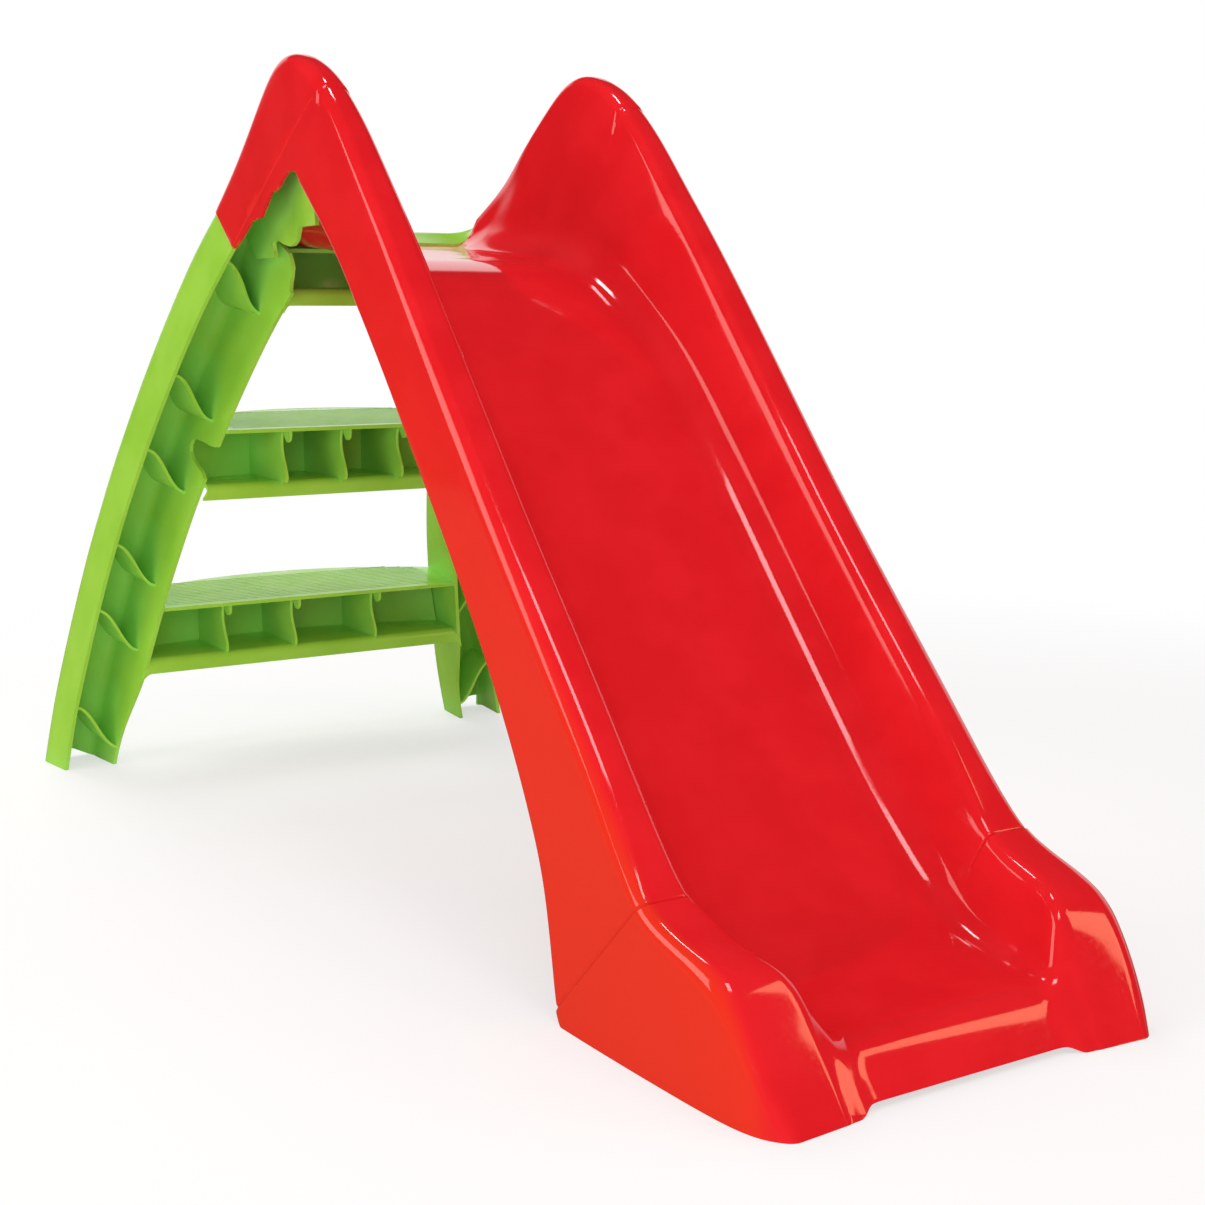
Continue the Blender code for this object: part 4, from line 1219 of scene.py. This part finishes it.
def white_sweep():
    material, tree, shader = new_material("matt_white_sweep")
    place = node_of(tree, "ShaderNodeTexCoord").outputs["Object"]
    away = node_of(tree, "ShaderNodeVectorMath", {"operation": "LENGTH"}, {0: place})
    path = node_of(tree, "ShaderNodeLightPath")
    far = node_of(tree, "ShaderNodeMapRange", {
        **SOFTLY, "From Min": FLOOR_FADE[0], "From Max": FLOOR_FADE[1],
        "To Min": NEAR_WHITE}, {"Value": away.outputs["Value"]})
    seen = node_of(tree, "ShaderNodeMath", {"operation": "MULTIPLY"}, {
        0: far.outputs["Result"], 1: path.outputs["Is Camera Ray"]})
    glow = node_of(tree, "ShaderNodeEmission", {"Strength": 1.0})
    shader.inputs["Base Color"].default_value = hex_colour("#F4F4F4")
    shader.inputs["Roughness"].default_value = FLOOR_ROUGHNESS
    shader.inputs["Specular IOR Level"].default_value = 0.0
    dim = node_of(tree, "ShaderNodeEmission", {
        "Color": hex_colour("#FFD2B0"), "Strength": FLOOR_IN_GLOSS})
    matt = node_of(tree, "ShaderNodeMixShader", {}, {
        0: path.outputs["Is Glossy Ray"], 1: shader.outputs[0], 2: dim.outputs[0]})
    mix = node_of(tree, "ShaderNodeMixShader", {}, {
        0: seen.outputs[0], 1: matt.outputs[0], 2: glow.outputs[0]})
    tree.links.new(mix.outputs[0], tree.nodes["Material Output"].inputs["Surface"])
    return material


work = bmesh.new()
bmesh.ops.create_grid(work, x_segments=1, y_segments=1, size=FLOOR_HALF)
floor_mesh = bpy.data.meshes.new("floor")
work.to_mesh(floor_mesh)
work.free()
floor_mesh.materials.append(white_sweep())
floor = new_piece("floor", floor_mesh)
print("floor:", 2 * FLOOR_HALF, "m wide")

# %% [markdown]
# ## Light
# Gloss shows what is round it, so the room matters as much as the lamps. A ready studio picture
# would light it too, but not with this photograph's streaks. Its deck and treads mirror a white
# sweep low behind the slide, and the rest of the red stays deep, so the room is dark elsewhere.
# The streaks and window shapes give the places of four soft boxes. Four more light the colours
# only, and gloss doesn't mirror them.

# %% Studio
LIGHT_AIM = Vector((0.0, -0.10, 0.35))
# turn from the front towards the right and rise, in degrees; distance, width and height in
# metres; how far it lights white; colour; whether gloss mirrors it
SOFT_BOXES = {
    "left_box": (-108, 28, 2.6, 1.30, 1.20, 0.26, "#FFEFE2", True),
    "camera_box": (-8, 60, 2.4, 0.55, 0.55, 0.13, "#FFFFFF", True),
    "top_box": (168, 74, 2.2, 0.20, 0.36, 0.08, "#FFFFFF", True),
    "right_window": (46, 25, 2.8, 0.46, 1.35, 0.13, "#FFC79A", True),
    "front_fill": (-25, 8, 3.0, 1.60, 1.20, 0.34, "#FFFFFF", False),
    "top_fill": (-60, 75, 3.0, 1.60, 1.60, 0.10, "#FFFFFF", False),
    "left_fill": (-70, 1, 3.0, 1.60, 0.60, 0.18, "#FFFFFF", False),
    "rear_fill": (180, 45, 3.0, 1.60, 1.60, 0.38, "#FFFFFF", False),
}


def soft_box(name, turn, rise, distance, width, height, level, colour, mirrored_by_gloss):
    lamp = bpy.data.lights.new(name, "AREA")
    lamp.shape = "RECTANGLE"
    lamp.size, lamp.size_y = width, height
    lamp.energy = level * math.pi ** 2 * distance ** 2
    lamp.color = hex_colour(colour)[:3]
    turn, rise = math.radians(turn), math.radians(rise)
    level_out = math.cos(rise)
    away = Vector((math.sin(turn) * level_out, -math.cos(turn) * level_out, math.sin(rise)))
    box = bpy.data.objects.new(name, lamp)
    box.location = LIGHT_AIM + away * distance
    box.rotation_euler = away.to_track_quat("Z", "Y").to_euler()
    box.visible_camera = False
    box.visible_glossy = mirrored_by_gloss
    bpy.context.scene.collection.objects.link(box)


for name, values in SOFT_BOXES.items():
    soft_box(name, *values)
print("lamps:", len(SOFT_BOXES))

# %% World
SWEEP_SIDE = (0.67, 0.74, 0.0)
SWEEP_FADE = (0.42, 0.72)
SWEEP_TOP = (0.50, 0.43)
ROOM_LEVEL = 0.40
DARK_ROOM = 0.02


def studio_world():
    """White for the camera, even for matt surfaces; gloss sees the sweep behind and a dark room."""
    world = bpy.data.worlds.new("studio")
    world.use_nodes = True
    tree = world.node_tree
    path = node_of(tree, "ShaderNodeLightPath").outputs
    way = node_of(tree, "ShaderNodeSeparateXYZ", {}, {
        "Vector": node_of(tree, "ShaderNodeTexCoord").outputs["Generated"]})
    low = node_of(tree, "ShaderNodeMapRange", {
        **SOFTLY, "From Min": SWEEP_TOP[0], "From Max": SWEEP_TOP[1]}, {
        "Value": way.outputs["Z"]})
    turned = node_of(tree, "ShaderNodeVectorMath", {"operation": "DOT_PRODUCT", 1: SWEEP_SIDE}, {
        0: node_of(tree, "ShaderNodeTexCoord").outputs["Generated"]})
    behind = node_of(tree, "ShaderNodeMapRange", {
        **SOFTLY, "From Min": SWEEP_FADE[0],
        "From Max": SWEEP_FADE[1]}, {"Value": turned.outputs["Value"]})
    sweep = node_of(tree, "ShaderNodeMath", {"operation": "MULTIPLY"}, {
        0: low.outputs["Result"], 1: behind.outputs["Result"]})
    gloss = node_of(tree, "ShaderNodeMapRange", {
        **SOFTLY, "To Min": DARK_ROOM}, {"Value": sweep.outputs[0]})
    for_gloss = node_of(tree, "ShaderNodeMath", {"operation": "MULTIPLY"}, {
        0: gloss.outputs["Result"], 1: path["Is Glossy Ray"]})
    for_matt = node_of(tree, "ShaderNodeMath", {"operation": "MULTIPLY", 1: ROOM_LEVEL}, {
        0: path["Is Diffuse Ray"]})
    clear = node_of(tree, "ShaderNodeMath", {"operation": "MAXIMUM"}, {
        0: path["Is Camera Ray"], 1: path["Is Transmission Ray"]})
    lit = node_of(tree, "ShaderNodeMath", {"operation": "ADD"}, {
        0: for_gloss.outputs[0], 1: for_matt.outputs[0]})
    total = node_of(tree, "ShaderNodeMath", {"operation": "ADD"}, {
        0: lit.outputs[0], 1: clear.outputs[0]})
    background = tree.nodes["Background"]
    background.inputs["Color"].default_value = (1, 1, 1, 1)
    tree.links.new(total.outputs[0], background.inputs["Strength"])
    return world


bpy.context.scene.world = studio_world()
bpy.context.scene.view_settings.view_transform = "Standard"
print("room:", ROOM_LEVEL)

# %% [markdown]
# ## Riding
# The chute moulding lifts off as one, so it rides on the slide body, and all the green rides on
# the ladder. Parenting would hold them together too, but the frame's joint moves bodies, so each
# piece is attached to the body it rides on, and the solids it stands for are hidden.

# %% Ride and replace
RED_NODES = ["deck", "left_handle", "right_handle", "slide_bed", "left_rail", "right_rail",
             "run_out_floor", "left_fender", "right_fender"]
LADDER_SHARP = 32
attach(chute, "slide")
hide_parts(*RED_NODES)
right_parts = [stile] + ribs
left_parts = [mirrored(piece, piece.name.replace("right_", "left_")) for piece in right_parts]
for piece in green_pieces + left_parts:
    bpy.context.view_layer.update()
    piece.data.shade_smooth()
    piece.data.set_sharp_from_angle(angle=math.radians(LADDER_SHARP))
    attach(piece, "ladder")
for piece in right_parts:
    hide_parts("right_stile")
for piece in left_parts:
    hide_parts("left_stile")
for step_name, pieces in steps.items():
    for piece in pieces:
        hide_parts(step_name)
print("pieces on the ladder:", len(left_parts) + len(green_pieces))
